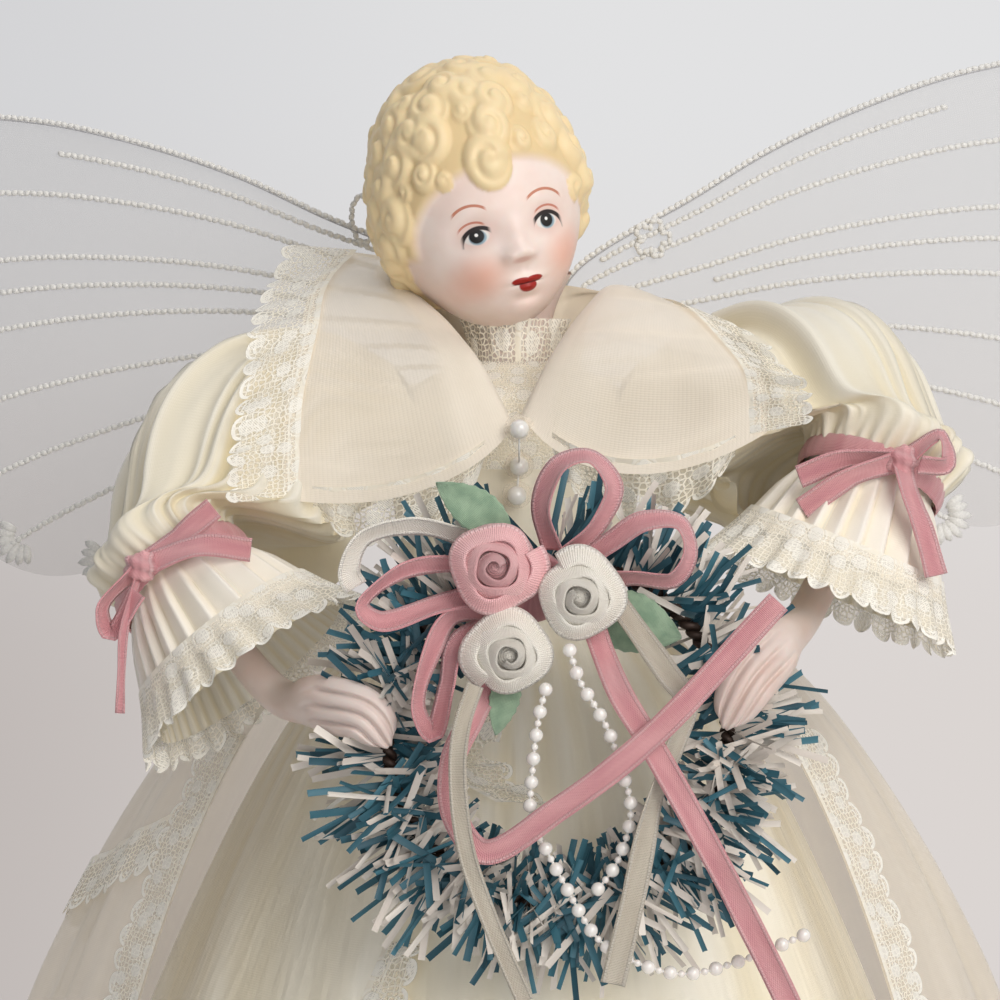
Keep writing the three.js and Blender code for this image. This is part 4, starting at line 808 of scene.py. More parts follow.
# Brush strokes of the creases over the lids, the brows and the lids: width, colour, cover and places.
FACE_STROKES = (
    (0.4, (196, 104, 74), 0.8,
     ((-9.6, -3.4), (-7.4, -2.2), (-5.0, -2.9)), ((4.6, -2.9), (7.2, -2.1), (9.8, -3.5))),
    (0.5, (190, 104, 66), 0.85,
     ((-10.2, -0.4), (-7.3, 0.9), (-4.4, -0.2)), ((3.4, -0.2), (7.1, 0.9), (10.6, -1.0))),
    (0.75, (34, 24, 24), 1.0,
     ((-9.3, -5.5), (-7.0, -3.4), (-4.2, -4.1)), ((4.0, -4.6), (7.1, -3.3), (9.9, -5.4))),
)
# Forms of the face round one of its places: height, across, up and half widths.
EYE_FORMS = ((-1.3, 0, 0.5, 3.6, 2.7), (1.0, 0, 0, 2.3, 1.7), (0.35, 0, 4.6, 4.5, 1.6))
CHEEK_FORMS = ((0.9, 0, 0, 4.2, 4.2),)
NOSE_FORMS = (
    (1.1, 0, 3.4, 2.4, 3.4), (2.0, 0, 0, 2.8, 1.8), (0.9, -2.2, -0.5, 1.1, 1.0), (0.9, 2.2, -0.5, 1.1, 1.0),
)
MOUTH_FORMS = (
    (1.1, 0, 0.7, 2.9, 0.85), (1.25, 0, -0.85, 2.2, 0.95), (-0.55, 0, 0, 3.0, 0.3),
    (-0.5, 0, -2.7, 2.4, 0.8), (-0.25, 0, 2.6, 0.6, 1.0), (1.2, -0.3, -5.2, 3.4, 2.2),
)
FACE_FORMS = (
    (EYES[0], EYE_FORMS), (EYES[1], EYE_FORMS), ((-7.6, -11.8), CHEEK_FORMS), ((9.0, -11.8), CHEEK_FORMS),
    (NOSE, NOSE_FORMS), (MOUTH, MOUTH_FORMS),
)
LIP_OVALS = ((-1.25, 0.55, 1.75, 0.62), (1.25, 0.55, 1.75, 0.62), (0, -0.45, 1.7, 1.15))


def painted_face(f, colour):
    """The bisque's colour under the paint of cheeks, eyes, brows and lips, with a painted shadow under the
    nose.
    """
    x, z = f.split(f.uv("face"))

    def cover(share, paint, amount=1.0):
        return f.mix(f.times(share, amount), colour, tone(*paint))

    for place in BLUSHES:
        colour = cover(oval(f, x, z, place, 3.6, 3.4, 0.85), (236, 142, 100), 0.42)
    # Painted shadow under the nose.
    colour = cover(oval(f, x, z, (NOSE[0], NOSE[1] - 1.3), 1.6, 0.5, 0.6), (205, 140, 122), 0.5)
    for eye_x, eye_z in EYES:
        for across, up, half_x, half_z, soft, paint, amount in EYE_OVALS:
            spot = oval(f, x, z, (eye_x + across, eye_z + up), half_x, half_z, soft)
            colour = cover(spot, paint, amount)
    for width, paint, amount, *pair in FACE_STROKES:
        for points in pair:
            colour = cover(stroke(f, x, z, points, width), paint, amount)
    mouth_x, mouth_z = MOUTH
    lips = [oval(f, x, z, (mouth_x + across, mouth_z + up), *halves) for across, up, *halves in LIP_OVALS]
    colour = cover(f.most(f.most(lips[0], lips[1]), lips[2]), (160, 30, 22))
    return cover(oval(f, x, z, (mouth_x, mouth_z + 0.05), 2.7, 0.16, 0.3), (96, 16, 18), 0.9)


@made_once
def bisque_finish(name, scene, with_face):
    """Unglazed bisque, with the head's painted face and hair, or plain as on the neck and hands, which get
    painted shade: a copy darker by a fifth.
    """
    colours = scene.topper_colours
    # Painted shade: the plain bisque of the neck and hands is a darker copy of the face's.
    gain = 1.0 if with_face else 0.8
    warm, pale = (tuple(gain * c for c in paint) for paint in (colours.skin_shade, colours.skin))
    f = Finish(name, pale, 0.42, Subsurface_Weight=0.12, Specular_IOR_Level=0.4)
    f.shader.inputs["Subsurface Radius"].default_value = (0.004, 0.0015, 0.001)
    f.shader.inputs["Subsurface Scale"].default_value = 0.4
    colour = f.mix(f.ease(f.noise(f.places(), 90.0, 3.0), 0.3, 0.75), warm, pale)
    height = f.noise(f.places(), 700.0, 2.0)
    if with_face:
        colour = painted_face(f, colour)
        hair = f.attribute("hair")
        strands = f.noise(f.places(), 420.0, 3.0)
        # Painted shade: the hair is darker in its grooves and low places, by the curls' relief.
        depth = f.ease(f.plus(f.attribute("relief"), f.times(strands, 0.15)), -0.9, 0.7)
        colour = f.mix(hair, colour, f.mix(depth, tuple(colours.hair_shade), tuple(colours.hair)))
        height = f.plus(height, f.times(strands, hair))
    f.paint(colour)
    f.relief(height, 0.05, 0.25)
    return f


# Skirts

def underskirt_radius(angle, drop):
    """Radius at an angle from the front and a share of the drop, with gathers and hanging folds."""
    fall = UNDERSKIRT_WAIST + (UNDERSKIRT_HEM - UNDERSKIRT_WAIST) * drop**0.62
    fade = np.exp(-drop * 9) * np.minimum(drop * 30, 1)
    gathers = 0.5 * np.sin(31 * angle + 2 * np.sin(5 * angle)) * fade
    drape = 2.5 * drop * np.cos(12 * angle) + 0.8 * drop * np.sin(19 * angle + 3 * np.sin(2 * angle))
    return fall + gathers + drape


def overskirt_radius(angle, drop):
    """As for the underskirt. It swells at the sides and lies flat beside its opening."""
    fall = OVERSKIRT_WAIST + (OVERSKIRT_HEM - OVERSKIRT_WAIST) * drop**0.4
    beside = np.abs(angle)
    full = 1 + 0.09 * np.sin(math.pi * drop) * smoothstep(beside, FRONT_OPENING, math.pi / 2)
    depth = np.minimum(3 * drop, 1) * smoothstep(beside - FRONT_OPENING, 0.12, 0.35)
    drape = 1.4 * np.cos(20 * angle + 0.8 * np.sin(3 * angle + 5 * drop))
    fine = 0.9 * (1 - drop) * np.sin(47 * angle + 2 * np.sin(6 * angle + 4 * drop))
    return fall * full + depth * (drape + fine)


def skirt_height(drop, bottom=OVERSKIRT_LIFT):
    return WAIST_Z + (bottom - WAIST_Z) * drop


def skirt_surface(radius, start, end, bottom):
    def at(u, v):
        drop = v**1.5
        angle = start + (end - start) * u
        signed = np.where(angle > math.pi, angle - TAU, angle)
        return round_place(angle, radius(signed, drop), skirt_height(drop, bottom))

    return at


class TOPPER_OT_skirts(bpy.types.Operator):
    """Sew the satin underskirt and the open organza overskirt with its lace"""

    bl_idname = "topper.skirts"
    bl_label = "Skirts"

    def execute(self, context):
        surface = skirt_surface(underskirt_radius, 0, TAU, 0.4)
        under = cloth_mesh(surface, 288, 70, True, (680, 235), SKIRT_MIDDLE)
        gores = [f"underskirt_gore_{i}" for i in range(1, 7)]
        skirt = add_piece(context, "satin_underskirt", mark_fold_shade(under, 12, 0.0), "body",
                          [satin_finish(context, *SKIRT_SATIN_LIT)], gores)
        for number, (route, width) in enumerate(FRONT_LACE):
            line = smooth_line([(*step, 0) for step in route])

            def bit(u, v, line=line, width=width):
                angle, drop = np.radians(line(v)[:, 0]), line(v)[:, 1] / 100
                reach = underskirt_radius(angle, drop)
                out = reach + 1.2 + 0.7 * np.sin(v * 26) * u
                height = WAIST_Z - WAIST_Z * drop + 1.5 * np.sin(v * 19) * u
                return round_place(angle + (u - 0.5) * width / reach, out, height)

            bm = cloth_mesh(bit, 8, 60, False, (width, 40), SKIRT_MIDDLE)
            finish = lace_finish(context, f"front_lace_{number}", width, 4.0, 1.0, 0.3)
            add_piece(context, f"front_lace_{number}", bm, "body", [finish])

        surface = skirt_surface(overskirt_radius, FRONT_OPENING, TAU - FRONT_OPENING, OVERSKIRT_LIFT)
        over = cloth_mesh(surface, 260, 70, False, (485, 235), SKIRT_MIDDLE)
        panels = [f"overskirt_panel_{i}" for i in range(1, 5)]
        finish = organza_finish(context, "skirt_organza", 0.62)
        veil = add_piece(context, "organza_overskirt", over, "body", [finish], panels)

        lace = lace_finish(context, "skirt_lace", SKIRT_LACE_WIDTH, 5.2)
        for label, side in SIDES.items():
            def band(u, v, side=side):
                drop = 0.1 + 0.9 * v
                reach = overskirt_radius(np.full_like(v, FRONT_OPENING), drop)
                angle = side * (FRONT_OPENING - 0.6 / reach + u * SKIRT_LACE_WIDTH / reach)
                ruffle = 0.5 * np.sin(v * 70) * u
                return round_place(angle, overskirt_radius(angle, drop) + 0.9 + ruffle, skirt_height(drop))

            bm = cloth_mesh(band, 12, 150, False, (12, 225), SKIRT_MIDDLE)
            add_piece(context, f"skirt_lace_{label}", bm, "body", [lace],
                                   [f"overskirt_lace_{label}"])

        def overlay(u, v):
            angle = -math.radians(66) - math.radians(46) * v
            drop = 0.2 + 0.13 * v + 0.052 * (u - 0.5)
            return round_place(angle, overskirt_radius(angle, drop) + 0.9, skirt_height(drop))

        bm = cloth_mesh(overlay, 10, 60, False, (12, 78), SKIRT_MIDDLE)
        add_piece(context, "skirt_lace_overlay", bm, "body", [lace])
        return {"FINISHED"}


class TOPPER_OT_bodice(bpy.types.Operator):
    """Fit the satin bodice, the neck's lace and the pearl buttons"""

    bl_idname = "topper.bodice"
    bl_label = "Bodice"

    def execute(self, context):
        profile = smooth_line([(r, 0, z) for r, z in BODICE_OUTLINE])

        def bodice(u, v):
            radius, _, height = profile(v).T
            return round_place(u * TAU, radius + 0.25 * np.sin(40 * u * TAU) * (1 - v) ** 3, height)

        bm = cloth_mesh(bodice, 160, 40, True, (140, 52), CHEST_MIDDLE)
        # Painted light: the bodice wears the skirt's lighter copy of the satin.
        add_piece(context, "satin_bodice", bm, "body", [satin_finish(context, *SKIRT_SATIN_LIT)],
                  ["bodice"])

        def stand(u, v):
            angle = u * TAU
            frill = 0.35 * np.sin(22 * angle) * v
            return round_place(angle, 8.5 + 1.5 * v**2 + frill, 249.1 + v * (7.4 + 0.8 * np.cos(angle)))

        yoke_line = smooth_line([(9.0, 0, 249.4), (20.9, 0, 242.7), (23.3, 0, 231)])

        def yoke(u, v):
            radius, _, height = yoke_line(v).T
            return round_place(math.radians(64) * (2 * u - 1) * (1 - 0.55 * v), radius + 0.5, height)

        whole = join_meshes("neck", [
            (cloth_mesh(stand, 120, 8, True, (56, 5.5), (0, 0, 251)), 0),
            (cloth_mesh(yoke, 40, 24, False, (34, 26), CHEST_MIDDLE), 0),
        ])
        lace = lace_finish(context, "neck_lace_net", 60.0, 3.0, 1.3)
        add_piece(context, "lace_neck", whole, "body", [lace], ["neck_lace"])

        thread = smooth_line([BUTTONS[0], (0.6, -34.5, 235), *BUTTONS[1:]])
        whole = join_meshes("buttons", [(cloth_mesh(tube_surface(thread, 0.18), 8, 40, True), 2)])
        pearl = small_mesh("pearl", bmesh.ops.create_icosphere, subdivisions=4, radius=1.0)
        halo = small_mesh("halo", bmesh.ops.create_uvsphere, u_segments=24, v_segments=12, radius=1.0)
        for spot in BUTTONS:
            centre = np.array(spot)
            stamp(whole, pearl, lambda co, c=centre: co * BUTTON_RADIUS + c, 0)
            stamp(whole, halo, lambda co, c=centre: co * BUTTON_NET + c + (0, 1.2, 0), 1)
        finishes = [pearl_finish(context, "glass_pearl"), organza_finish(context, "button_net", 0.4),
                    thread_finish(context, "white_thread")]
        add_piece(context, "pearl_button_row", whole, "body", finishes, ["pearl_buttons"])
        return {"FINISHED"}


def lapel_surface(rows, slack):
    """The lapel's cloth through its rows of places, with the sag of its free front edge."""
    curves = [smooth_line(np.array(row) + ARM_MIDDLE, True) for row in rows]

    def at(u, v):
        places = np.empty((len(u), 3))
        for share in np.unique(np.round(u, 6)):
            chosen = np.abs(u - share) < 1e-5
            across = smooth_line([curve(share) for curve in curves], True)
            places[chosen] = across(v[chosen])
        sag = slack * np.sin(math.pi * np.clip(2 * u - 1, 0, 1)) * smoothstep(v, 0.6, 1)
        crown = np.sin(math.pi * np.clip(v, 0.03, 0.97)) ** 0.5
        fan = 1.4 * np.sin(9 * v + 1.5 * u + 0.8 * np.sin(5 * u)) + 0.7 * np.sin(21 * v - 2.1 * u + 0.6)
        pinch = 0.8 * np.abs(np.sin(15 * v + 3 * u**2)) - 0.5
        crease = (fan + pinch) * (0.12 + 0.75 * u * (1.2 - u)) * crown
        return places + np.stack((0 * sag, -0.4 * sag - crease, 0.3 * crease - sag), -1)

    return at


class TOPPER_OT_collar(bpy.types.Operator):
    """Drape the two organza lapels and their lace"""

    bl_idname = "topper.collar"
    bl_label = "Collar"

    def execute(self, context):
        lace = lace_finish(context, "collar_lace", 14.0, 4.6, 0.9, 0.42)
        under_lace = lace_finish(context, "under_lace", 12.0, 4.4, 0.9, 0.4)
        cloths = {
            label: organza_finish(context, f"collar_organza_{label}", opacity, LAPEL_HEM_OPACITY)
            for label, opacity in LAPEL_OPACITIES.items()
        }
        for label, side in SIDES.items():
            at = lapel_surface(LAPELS[label], LAPEL_SLACKS[label])
            bm = mark_fold_shade(cloth_mesh(at, 60, 90, False, None, COLLAR_MIDDLE), 12, 0.0)
            lapel = add_piece(context, f"lapel_{label}", bm, "body", [cloths[label]],
                              [f"collar_{label}"])

            def edging(u, v, at=at, side=side, width=COLLAR_LACE_WIDTHS[label]):
                ones = np.ones_like(v)
                edge = at(ones, v)
                away = unit(edge - at(0.9 * ones, v))
                lean = 0.5 * smoothstep(v, 0.2, 0.6)
                away = unit(away + np.stack((0.3 * side * ones, -lean, -0.2 * ones), -1))
                ruffle = (1.2 * np.sin(v * 46) + 0.8 * np.sin(v * 29 + 1)) * np.clip(u, 0, 1)
                reach = (width * u - 3.4)[:, None]
                proud = np.stack((0 * v, -0.7 - ruffle * 0.6, 0.3 + ruffle * 0.5), -1)
                return edge + away * reach + proud

            bm = cloth_mesh(edging, 14, 110, False, (14, 78), COLLAR_MIDDLE)
            trim = add_piece(context, f"lapel_lace_{label}", bm, "body", [lace],
                             [f"collar_lace_{label}"])

            def below(u, v, at=at):
                edge = at(0.6 + 0.34 * v, np.full_like(v, 0.985))
                drop = 12 * u * np.sin(math.pi * np.clip(v, 0.02, 0.98)) ** 0.4 - 2
                ruffle = 1.3 * np.sin(v * 34) * u
                return edge + np.stack((0 * drop, 1.0 + 0.25 * drop + ruffle, -drop), -1)

            bm = cloth_mesh(below, 10, 70, False, (12, 34), COLLAR_MIDDLE)
            under = add_piece(context, f"lapel_under_lace_{label}", bm, "body", [under_lace])
        behind = (LAPELS["left"][0], COLLAR_BACK, LAPELS["right"][0])
        bm = cloth_mesh(lapel_surface(behind, 0.0), 24, 60, False, None, CHEST_MIDDLE)
        add_piece(context, "collar_back", mark_fold_shade(bm, 12, 0.0), "body", [cloths["right"]])
        return {"FINISHED"}


# Head

def curl_list():
    """The curls of the front, and a spaced pattern of curls over the rest of the cap."""
    def aim(azimuth, elevation):
        a, e = math.radians(azimuth), math.radians(elevation)
        return np.array((math.sin(a) * math.cos(e), -math.cos(a) * math.cos(e), math.sin(e)))

    curls = [(aim(a, e), r) for a, e, r in CURLS]
    for i in range(CURL_COUNT):
        height = 1 - (2 * i + 1) / CURL_COUNT
        ring = math.sqrt(1 - height * height)
        turn = i * math.pi * (3 - math.sqrt(5))
        place = np.array((ring * math.cos(turn), ring * math.sin(turn), height))
        radius = 4.2 + 1.0 * (0.5 + 0.5 * math.sin(i * 2.4))
        if hair_share(place[None])[0] < 0.9:
            continue
        if all(math.acos(np.clip(place @ c, -1, 1)) > 0.37 * (radius + r) / SKULL_RADIUS for c, r in curls):
            curls.append((place, radius))
    return curls


def face_window(direction):
    """Under 1 inside the face, over 1 in the hair."""
    across = np.arctan2(direction[:, 0], -direction[:, 1]) / FACE_HALF_WIDTH
    rise = (np.arcsin(np.clip(direction[:, 2], -1, 1)) + FACE_BELOW) / FACE_HALF_HEIGHT
    low = np.where(rise < 0, 0.55, 1.0)
    return np.hypot(across, rise * low)


def hair_share(direction):
    """1 on the moulded cap of hair, which ends above the jaw and reaches lower at the nape."""
    x, y, z = direction.T
    side = np.abs(np.arctan2(x, -y))
    lowest = -0.32 - 0.42 * smoothstep(side, math.radians(80), math.radians(130))
    lowest += 0.2 * smoothstep(x, 0, 0.3) * smoothstep(-y, -0.1, 0.2)
    return smoothstep(face_window(direction), 0.98, 1.1) * smoothstep(z - lowest, -0.03, 0.1)


def curl_relief(direction, cap):
    """Height of the curls' coils at each direction, and the share of hair with their rims."""
    relief, hair = np.zeros(len(cap)), cap.copy()
    for number, (centre, radius) in enumerate(curl_list()):
        share = np.arccos(np.clip(direction @ centre, -1, 1)) * SKULL_RADIUS / radius
        near = share < 1.15
        level = unit(np.cross(UP + (0, 0.01, 0), centre))
        rise = np.cross(centre, level)
        turn = np.arctan2(direction[near] @ rise, direction[near] @ level) * (1 if number % 2 else -1)
        s = share[near]
        dome = np.maximum(1 - s**2, 0) ** 0.75
        coil = s * 1.35 - turn / TAU + number * 0.37
        groove = np.exp(-(((coil - np.floor(coil)) - 0.5) / 0.22) ** 2) * smoothstep(s, 0.08, 0.3)
        crown = 0.45 * smoothstep(centre[2:], 0.6, 0.95) if number >= len(CURLS) else 0.0
        height = min(0.5 * radius, 2.2) * dome * (1 - 0.42 * groove) * (1 - crown)
        relief[near] = (relief[near] ** 4 + height**4) ** 0.25
        hair[near] = np.maximum(hair[near], smoothstep(1.02 - s, 0, 0.06))
    return relief, hair


def head_places(direction):
    """Places of the head round its middle, and the shares of hair and relief there."""
    x, y, z = direction.T
    low = np.maximum(-z, 0)
    wide, deep, tall = SKULL_HALVES
    skull = np.stack((x * wide * (1 - 0.14 * low**2), y * deep - 3 * low**2, z * tall), -1)
    cap = hair_share(direction)
    relief, hair = curl_relief(direction, cap)
    lift = np.zeros(len(x))
    for (middle_x, middle_z), forms in FACE_FORMS:
        for height, across, up, half_x, half_z in forms:
            aside = (skull[:, 0] - middle_x - across) / half_x
            above = (skull[:, 2] - middle_z - up) / half_z
            lift += height * np.exp(-(aside**2) - above**2)
    skull[:, 1] -= lift * smoothstep(-y, 0.15, 0.5) * (1 - smoothstep(face_window(direction), 0.85, 1.0))
    out = direction * (cap * (1.1 + 2.3 * smoothstep(z, 0.4, 1.0)) + relief)[:, None]
    return skull + out, hair, relief / 2.3


def head_turned(places):
    """Head places turned, tilted and set on the neck."""
    return turned(turned(places + HEAD_CENTRE, HEAD_YAW, 0, 1), HEAD_ROLL, 2, 0) + (0, 0, NECK_Z)


class TOPPER_OT_head(bpy.types.Operator):
    """Model the bisque head with its moulded curls and painted face"""

    bl_idname = "topper.head"
    bl_label = "Head"

    def execute(self, context):
        bm = bmesh.new()
        bmesh.ops.create_icosphere(bm, subdivisions=7, radius=1.0)
        bm.verts.index_update()
        direction = unit(np.array([vert.co for vert in bm.verts]))
        local, hair, relief = head_places(direction)
        map_cloth(bm, lambda vert: local[vert.index, ::2], "face")
        hair_layer = bm.verts.layers.float.new("hair")
        relief_layer = bm.verts.layers.float.new("relief")
        for vert, place, share, height in zip(bm.verts, head_turned(local), hair, relief):
            vert.co = place
            vert[hair_layer] = share
            vert[relief_layer] = height
        add_piece(context, "doll_head", bm, "head", [bisque_finish(context, "bisque_face", True)],
                  ["bisque_head"])

        line = smooth_line(np.array(((0, 0, 0.6), (0, 0, 7), (1.5, -1, 14), (3.5, -1.5, 20))) + (0, 0, NECK_Z))
        neck = cloth_mesh(tube_surface(line, lambda v: 7.2 - 0.8 * np.sin(math.pi * v)), 48, 16, True)
        add_piece(context, "doll_neck", neck, "head", [bisque_finish(context, "bisque_plain", False)])
        return {"FINISHED"}


# Sleeves, cuffs and hands

def sleeve_line(label):
    """The middle line of a puff sleeve, from the armhole to the gather at the elbow, and the cuff's axis."""
    side, elbow = SIDES[label], ELBOWS[label]
    axis = unit(np.array(CUFF_AXES[label], float))
    start = ARM_MIDDLE + (side * 23.7, 0, 0)
    gather = elbow - 2.7 * axis
    top = start + (side * 18, -4, 0.15 * (elbow - ARM_MIDDLE)[2] + 3)
    approach = gather - 7 * axis
    middle = (top + approach) / 2 + (0, 0, SLEEVE_LIFTS[label])
    return smooth_line([start, top, middle, approach, gather, elbow - 0.15 * axis]), axis


def sleeve_surface(label):
    """The gathered satin round a sleeve's line. It bags below and folds over towards the cuff."""
    line, axis = sleeve_line(label)
    side = SIDES[label]
    inner = np.array((-side, -0.3, 0))
    inner = unit(inner - axis * (inner @ axis))

    def heading(v):
        along = line_direction(line, v)
        ends = smoothstep(v, 0.4, 0.8)[:, None]
        along = unit(along * (1 - ends) + axis * ends)
        begin = smoothstep(v, 0.16, 0.0)[:, None]
        return unit(along * (1 - begin) + np.array((side, 0, 0)) * begin)

    steps = np.linspace(0, 1, 120)
    carried = [np.array((0.0, -side, 0.0))]
    for ahead in heading(steps)[1:]:
        carried.append(unit(carried[-1] - ahead * (carried[-1] @ ahead)))
    carried = np.array(carried)

    def at(u, v):
        angle = u * TAU
        along = heading(v)
        level = between_rows(v, steps, carried)
        rise = unit(np.cross(level, along))
        out = np.cross(along, rise) * np.cos(angle)[:, None] + rise * np.sin(angle)[:, None]
        swell = np.sin(math.pi * v**0.8) ** 0.8
        radius = SLEEVE_NECK + v + (SLEEVE_FULL - SLEEVE_NECK - v) * swell
        strength = np.sin(math.pi * np.clip(v, 0, 1)) ** 0.6
        uneven = angle + 0.22 * np.sin(2 * angle + 1) + 0.12 * np.sin(5 * angle + 2 * v)

        def crest(count, phase, drift):
            return 2 * (1 - np.abs(np.sin(count * uneven / 2 + phase + drift * v))) ** 1.4 - 0.7

        folds = 0.085 * crest(17, 0.4, 0.7) + 0.035 * crest(26, 1.9, -1.2) * smoothstep(v, 0.1, 0.5)
        pucker = 0.045 * np.sin(34 * angle) * np.exp(-(1 - v) * 16)
        pucker += 0.035 * np.sin(28 * angle) * np.exp(-v * 10)
        below = np.maximum(-out[:, 2], 0) ** 2
        hang = SLEEVE_HANGS[label] * below * smoothstep(v, 0.15, 0.4) * smoothstep(v, 0.9, 0.5)
        radius = radius * (1 + folds * strength + pucker + hang)
        radius = radius * (1 - SLEEVE_SLIMS[label] * smoothstep(v, 0.4, 0.7))
        over = 3.5 * np.exp(-(((v - 0.68) / 0.1) ** 2))
        lobe = np.maximum(out @ inner, 0) ** 2 * np.exp(-(((v - 0.7) / 0.14) ** 2))
        place = line(v) + (radius + 3 * lobe)[:, None] * out + (over + 15 * lobe)[:, None] * axis
        place[:, 2] -= strength * smoothstep(v, 0.25, 0.8)
        place[:, 0] -= side * (1.5 + 4.5 * out[:, 1] ** 2) * np.exp(-v * 25)
        return place

    return at


def bell_surface(label, run, radius):
    """A surface round a cuff's axis, from run(v, ahead) along it and radius(v, angle) from it."""
    axis = unit(np.array(CUFF_AXES[label], float))
    level, rise = around(axis)

    def at(u, v):
        angle = u * TAU
        out = level * np.cos(angle)[:, None] + rise * np.sin(angle)[:, None]
        return ELBOWS[label] + axis * run(v, -out[:, 1])[:, None] + out * radius(v, angle)[:, None]

    return at


def cuff_run(share, ahead):
    return 0.2 + (CUFF_LENGTH - 0.2 + CUFF_DROOP * ahead) * share


def cuff_radius(share, angle):
    """Knife pleats: each one climbs slowly and drops back at its crease."""
    share = smoothstep(share, 0.03, 0.16) * np.clip((share - 0.08) / 0.92, 0, 1)
    turn = angle / TAU * CUFF_PLEATS + 0.25 * np.sin(3 * angle)
    climb = turn - np.floor(turn)
    pleat = np.where(climb < 0.78, climb / 0.78, (1 - climb) / 0.22) - 0.5
    return CUFF_NECK + CUFF_FLARE * share**0.8 + 1.9 * np.minimum(2.5 * share + 0.12, 1) * pleat - 0.5


def lining_run(share, ahead):
    return 1.0 + (CUFF_LENGTH + 4.5 + CUFF_DROOP * ahead) * share


def lining_radius(share, angle):
    return 11 + 8.2 * share**0.9 + 0.3 * np.sin(46 * angle) * share


def hem_run(share, ahead):
    return CUFF_LENGTH + CUFF_DROOP * ahead - HEM_OVERLAP + HEM_LACE * share


def hem_radius(share, angle):
    """The hem's lace follows the cuff where it lies on it, and spreads beyond its edge."""
    beyond = (HEM_LACE * share - HEM_OVERLAP) / (HEM_LACE - HEM_OVERLAP)
    on_cuff = CUFF_NECK + CUFF_FLARE * np.clip(1 + 0.57 * beyond, 0, 1) ** 0.8
    flare = np.where(beyond < 0, on_cuff, CUFF_NECK + CUFF_FLARE + 4 * beyond)
    return flare + 0.9 + 0.9 * share * np.sin(26 * angle + np.sin(3 * angle))


def bow_knot(place):
    """The puckered knot of a sleeve's bow."""
    ball = bmesh.new()
    bmesh.ops.create_icosphere(ball, subdivisions=4, radius=2.5)
    map_cloth(ball, lambda vert: (vert.co.x + 2.4, vert.co.z * 1.6))
    for vert in ball.verts:
        vert.co *= 1 + 0.12 * math.sin(vert.co.z * 2.6 + vert.co.x) + 0.05 * math.sin(vert.co.x * 5)
        vert.co.x *= 1.15
    bmesh.ops.translate(ball, vec=place, verts=ball.verts)
    return ball


class TOPPER_OT_sleeves(bpy.types.Operator):
    """Gather the puff sleeves, pleat the cuffs, hem them with lace and tie the bows"""

    bl_idname = "topper.sleeves"
    bl_label = "Sleeves"

    def execute(self, context):
        # Painted light: the cuffs wear a lighter, less yellow copy of the satin.
        satin, lit_cuff_satin = satin_finish(context, "ivory_satin"), satin_finish(context, *CUFF_SATIN_LIT)
        lace = lace_finish(context, "cuff_lace", 12.5, 3.6, 1.2, 0.62)
        width = context.scene.topper_sizes.ribbon_width / MM
        for label, elbow in ELBOWS.items():
            line, axis = sleeve_line(label)
            bm = mark_fold_shade(cloth_mesh(sleeve_surface(label), 220, 90, True, (110, 75), line(0.5)))
            puff = add_piece(context, f"puff_sleeve_{label}", bm, "body", [satin], [f"sleeve_{label}"])

            bm = cloth_mesh(bell_surface(label, cuff_run, cuff_radius), 276, 24, True, (126, 22), elbow)
            cuff = add_piece(context, f"pleated_cuff_{label}", mark_fold_shade(bm, 6, 0.2, 0.55), "body",
                             [lit_cuff_satin], [f"cuff_{label}"])
            bm = cloth_mesh(bell_surface(label, lining_run, lining_radius), 184, 16, True, (120, 24), elbow)
            lining = add_piece(context, f"cuff_lining_{label}", mark_fold_shade(bm, 6, 0.2, 0.8), "body",
                               [satin])
            flat = bell_surface(label, hem_run, hem_radius)
            bm = cloth_mesh(lambda u, v, flat=flat: flat(v, u), 10, 260, True, (12.5, 132), elbow)
            hem = add_piece(context, f"cuff_hem_{label}", bm, "body", [lace], [f"cuff_lace_{label}"])

            away, routes = SLEEVE_BOWS[label]
            away = np.array(away, float)
            knot = elbow + unit(away - axis * (away @ axis)) * BOW_KNOT
            band = bell_surface(label, lambda v, ahead: 4.2 * v - 2.1, lambda v, angle: (
                BOW_BAND + 0.35 * np.sin(math.pi * v) + 0.12 * np.sin(40 * angle)))
            parts = [(cloth_mesh(band, 96, 8, True, (80, width), elbow), 0)]
            for route, turn, share in routes:
                points = [knot, *(elbow + np.array(p) for p in route)]
                at = ribbon_surface(points, width * share, (turn, turn + 0.5, turn - 0.2), 0.35, 0.3)
                parts.append((ribbon_mesh(at, 8, 40, width), 0))
            bow = join_meshes("bow", [*parts, (bow_knot(knot), 0)])
            add_piece(context, f"sleeve_ribbon_{label}", bow, "body",
                      [plain_ribbon(context, "pink")], [f"sleeve_bow_{label}"], RIBBON_THICKNESS)
        return {"FINISHED"}


def on_ring(angle):
    """A place on the wreath's leaning ring."""
    rise = WREATH_RADIUS * np.sin(angle)
    lean = (rise * math.sin(WREATH_LEAN), rise * math.cos(WREATH_LEAN))
    return np.stack((WREATH_RADIUS * np.cos(angle), *lean), -1) + WREATH_CENTRE


def hand_line(label):
    """The middle line of a forearm and hand, from the elbow to the fingers round the wreath."""
    top = ELBOWS[label]
    wrist = top + np.array(WRISTS[label])
    tip = on_ring(np.array(HOLDS[label])) - (0, 5.6, 0)
    fingers = tip + (3.6 * SIDES[label], 0, 1.6 if label == "left" else 4.4)
    knuckles = wrist + 0.55 * (fingers - wrist) + (0, -3, 0.9)
    return smooth_line([top, wrist, knuckles, fingers, tip + (-0.4 * SIDES[label], 0.4, -3.4)])


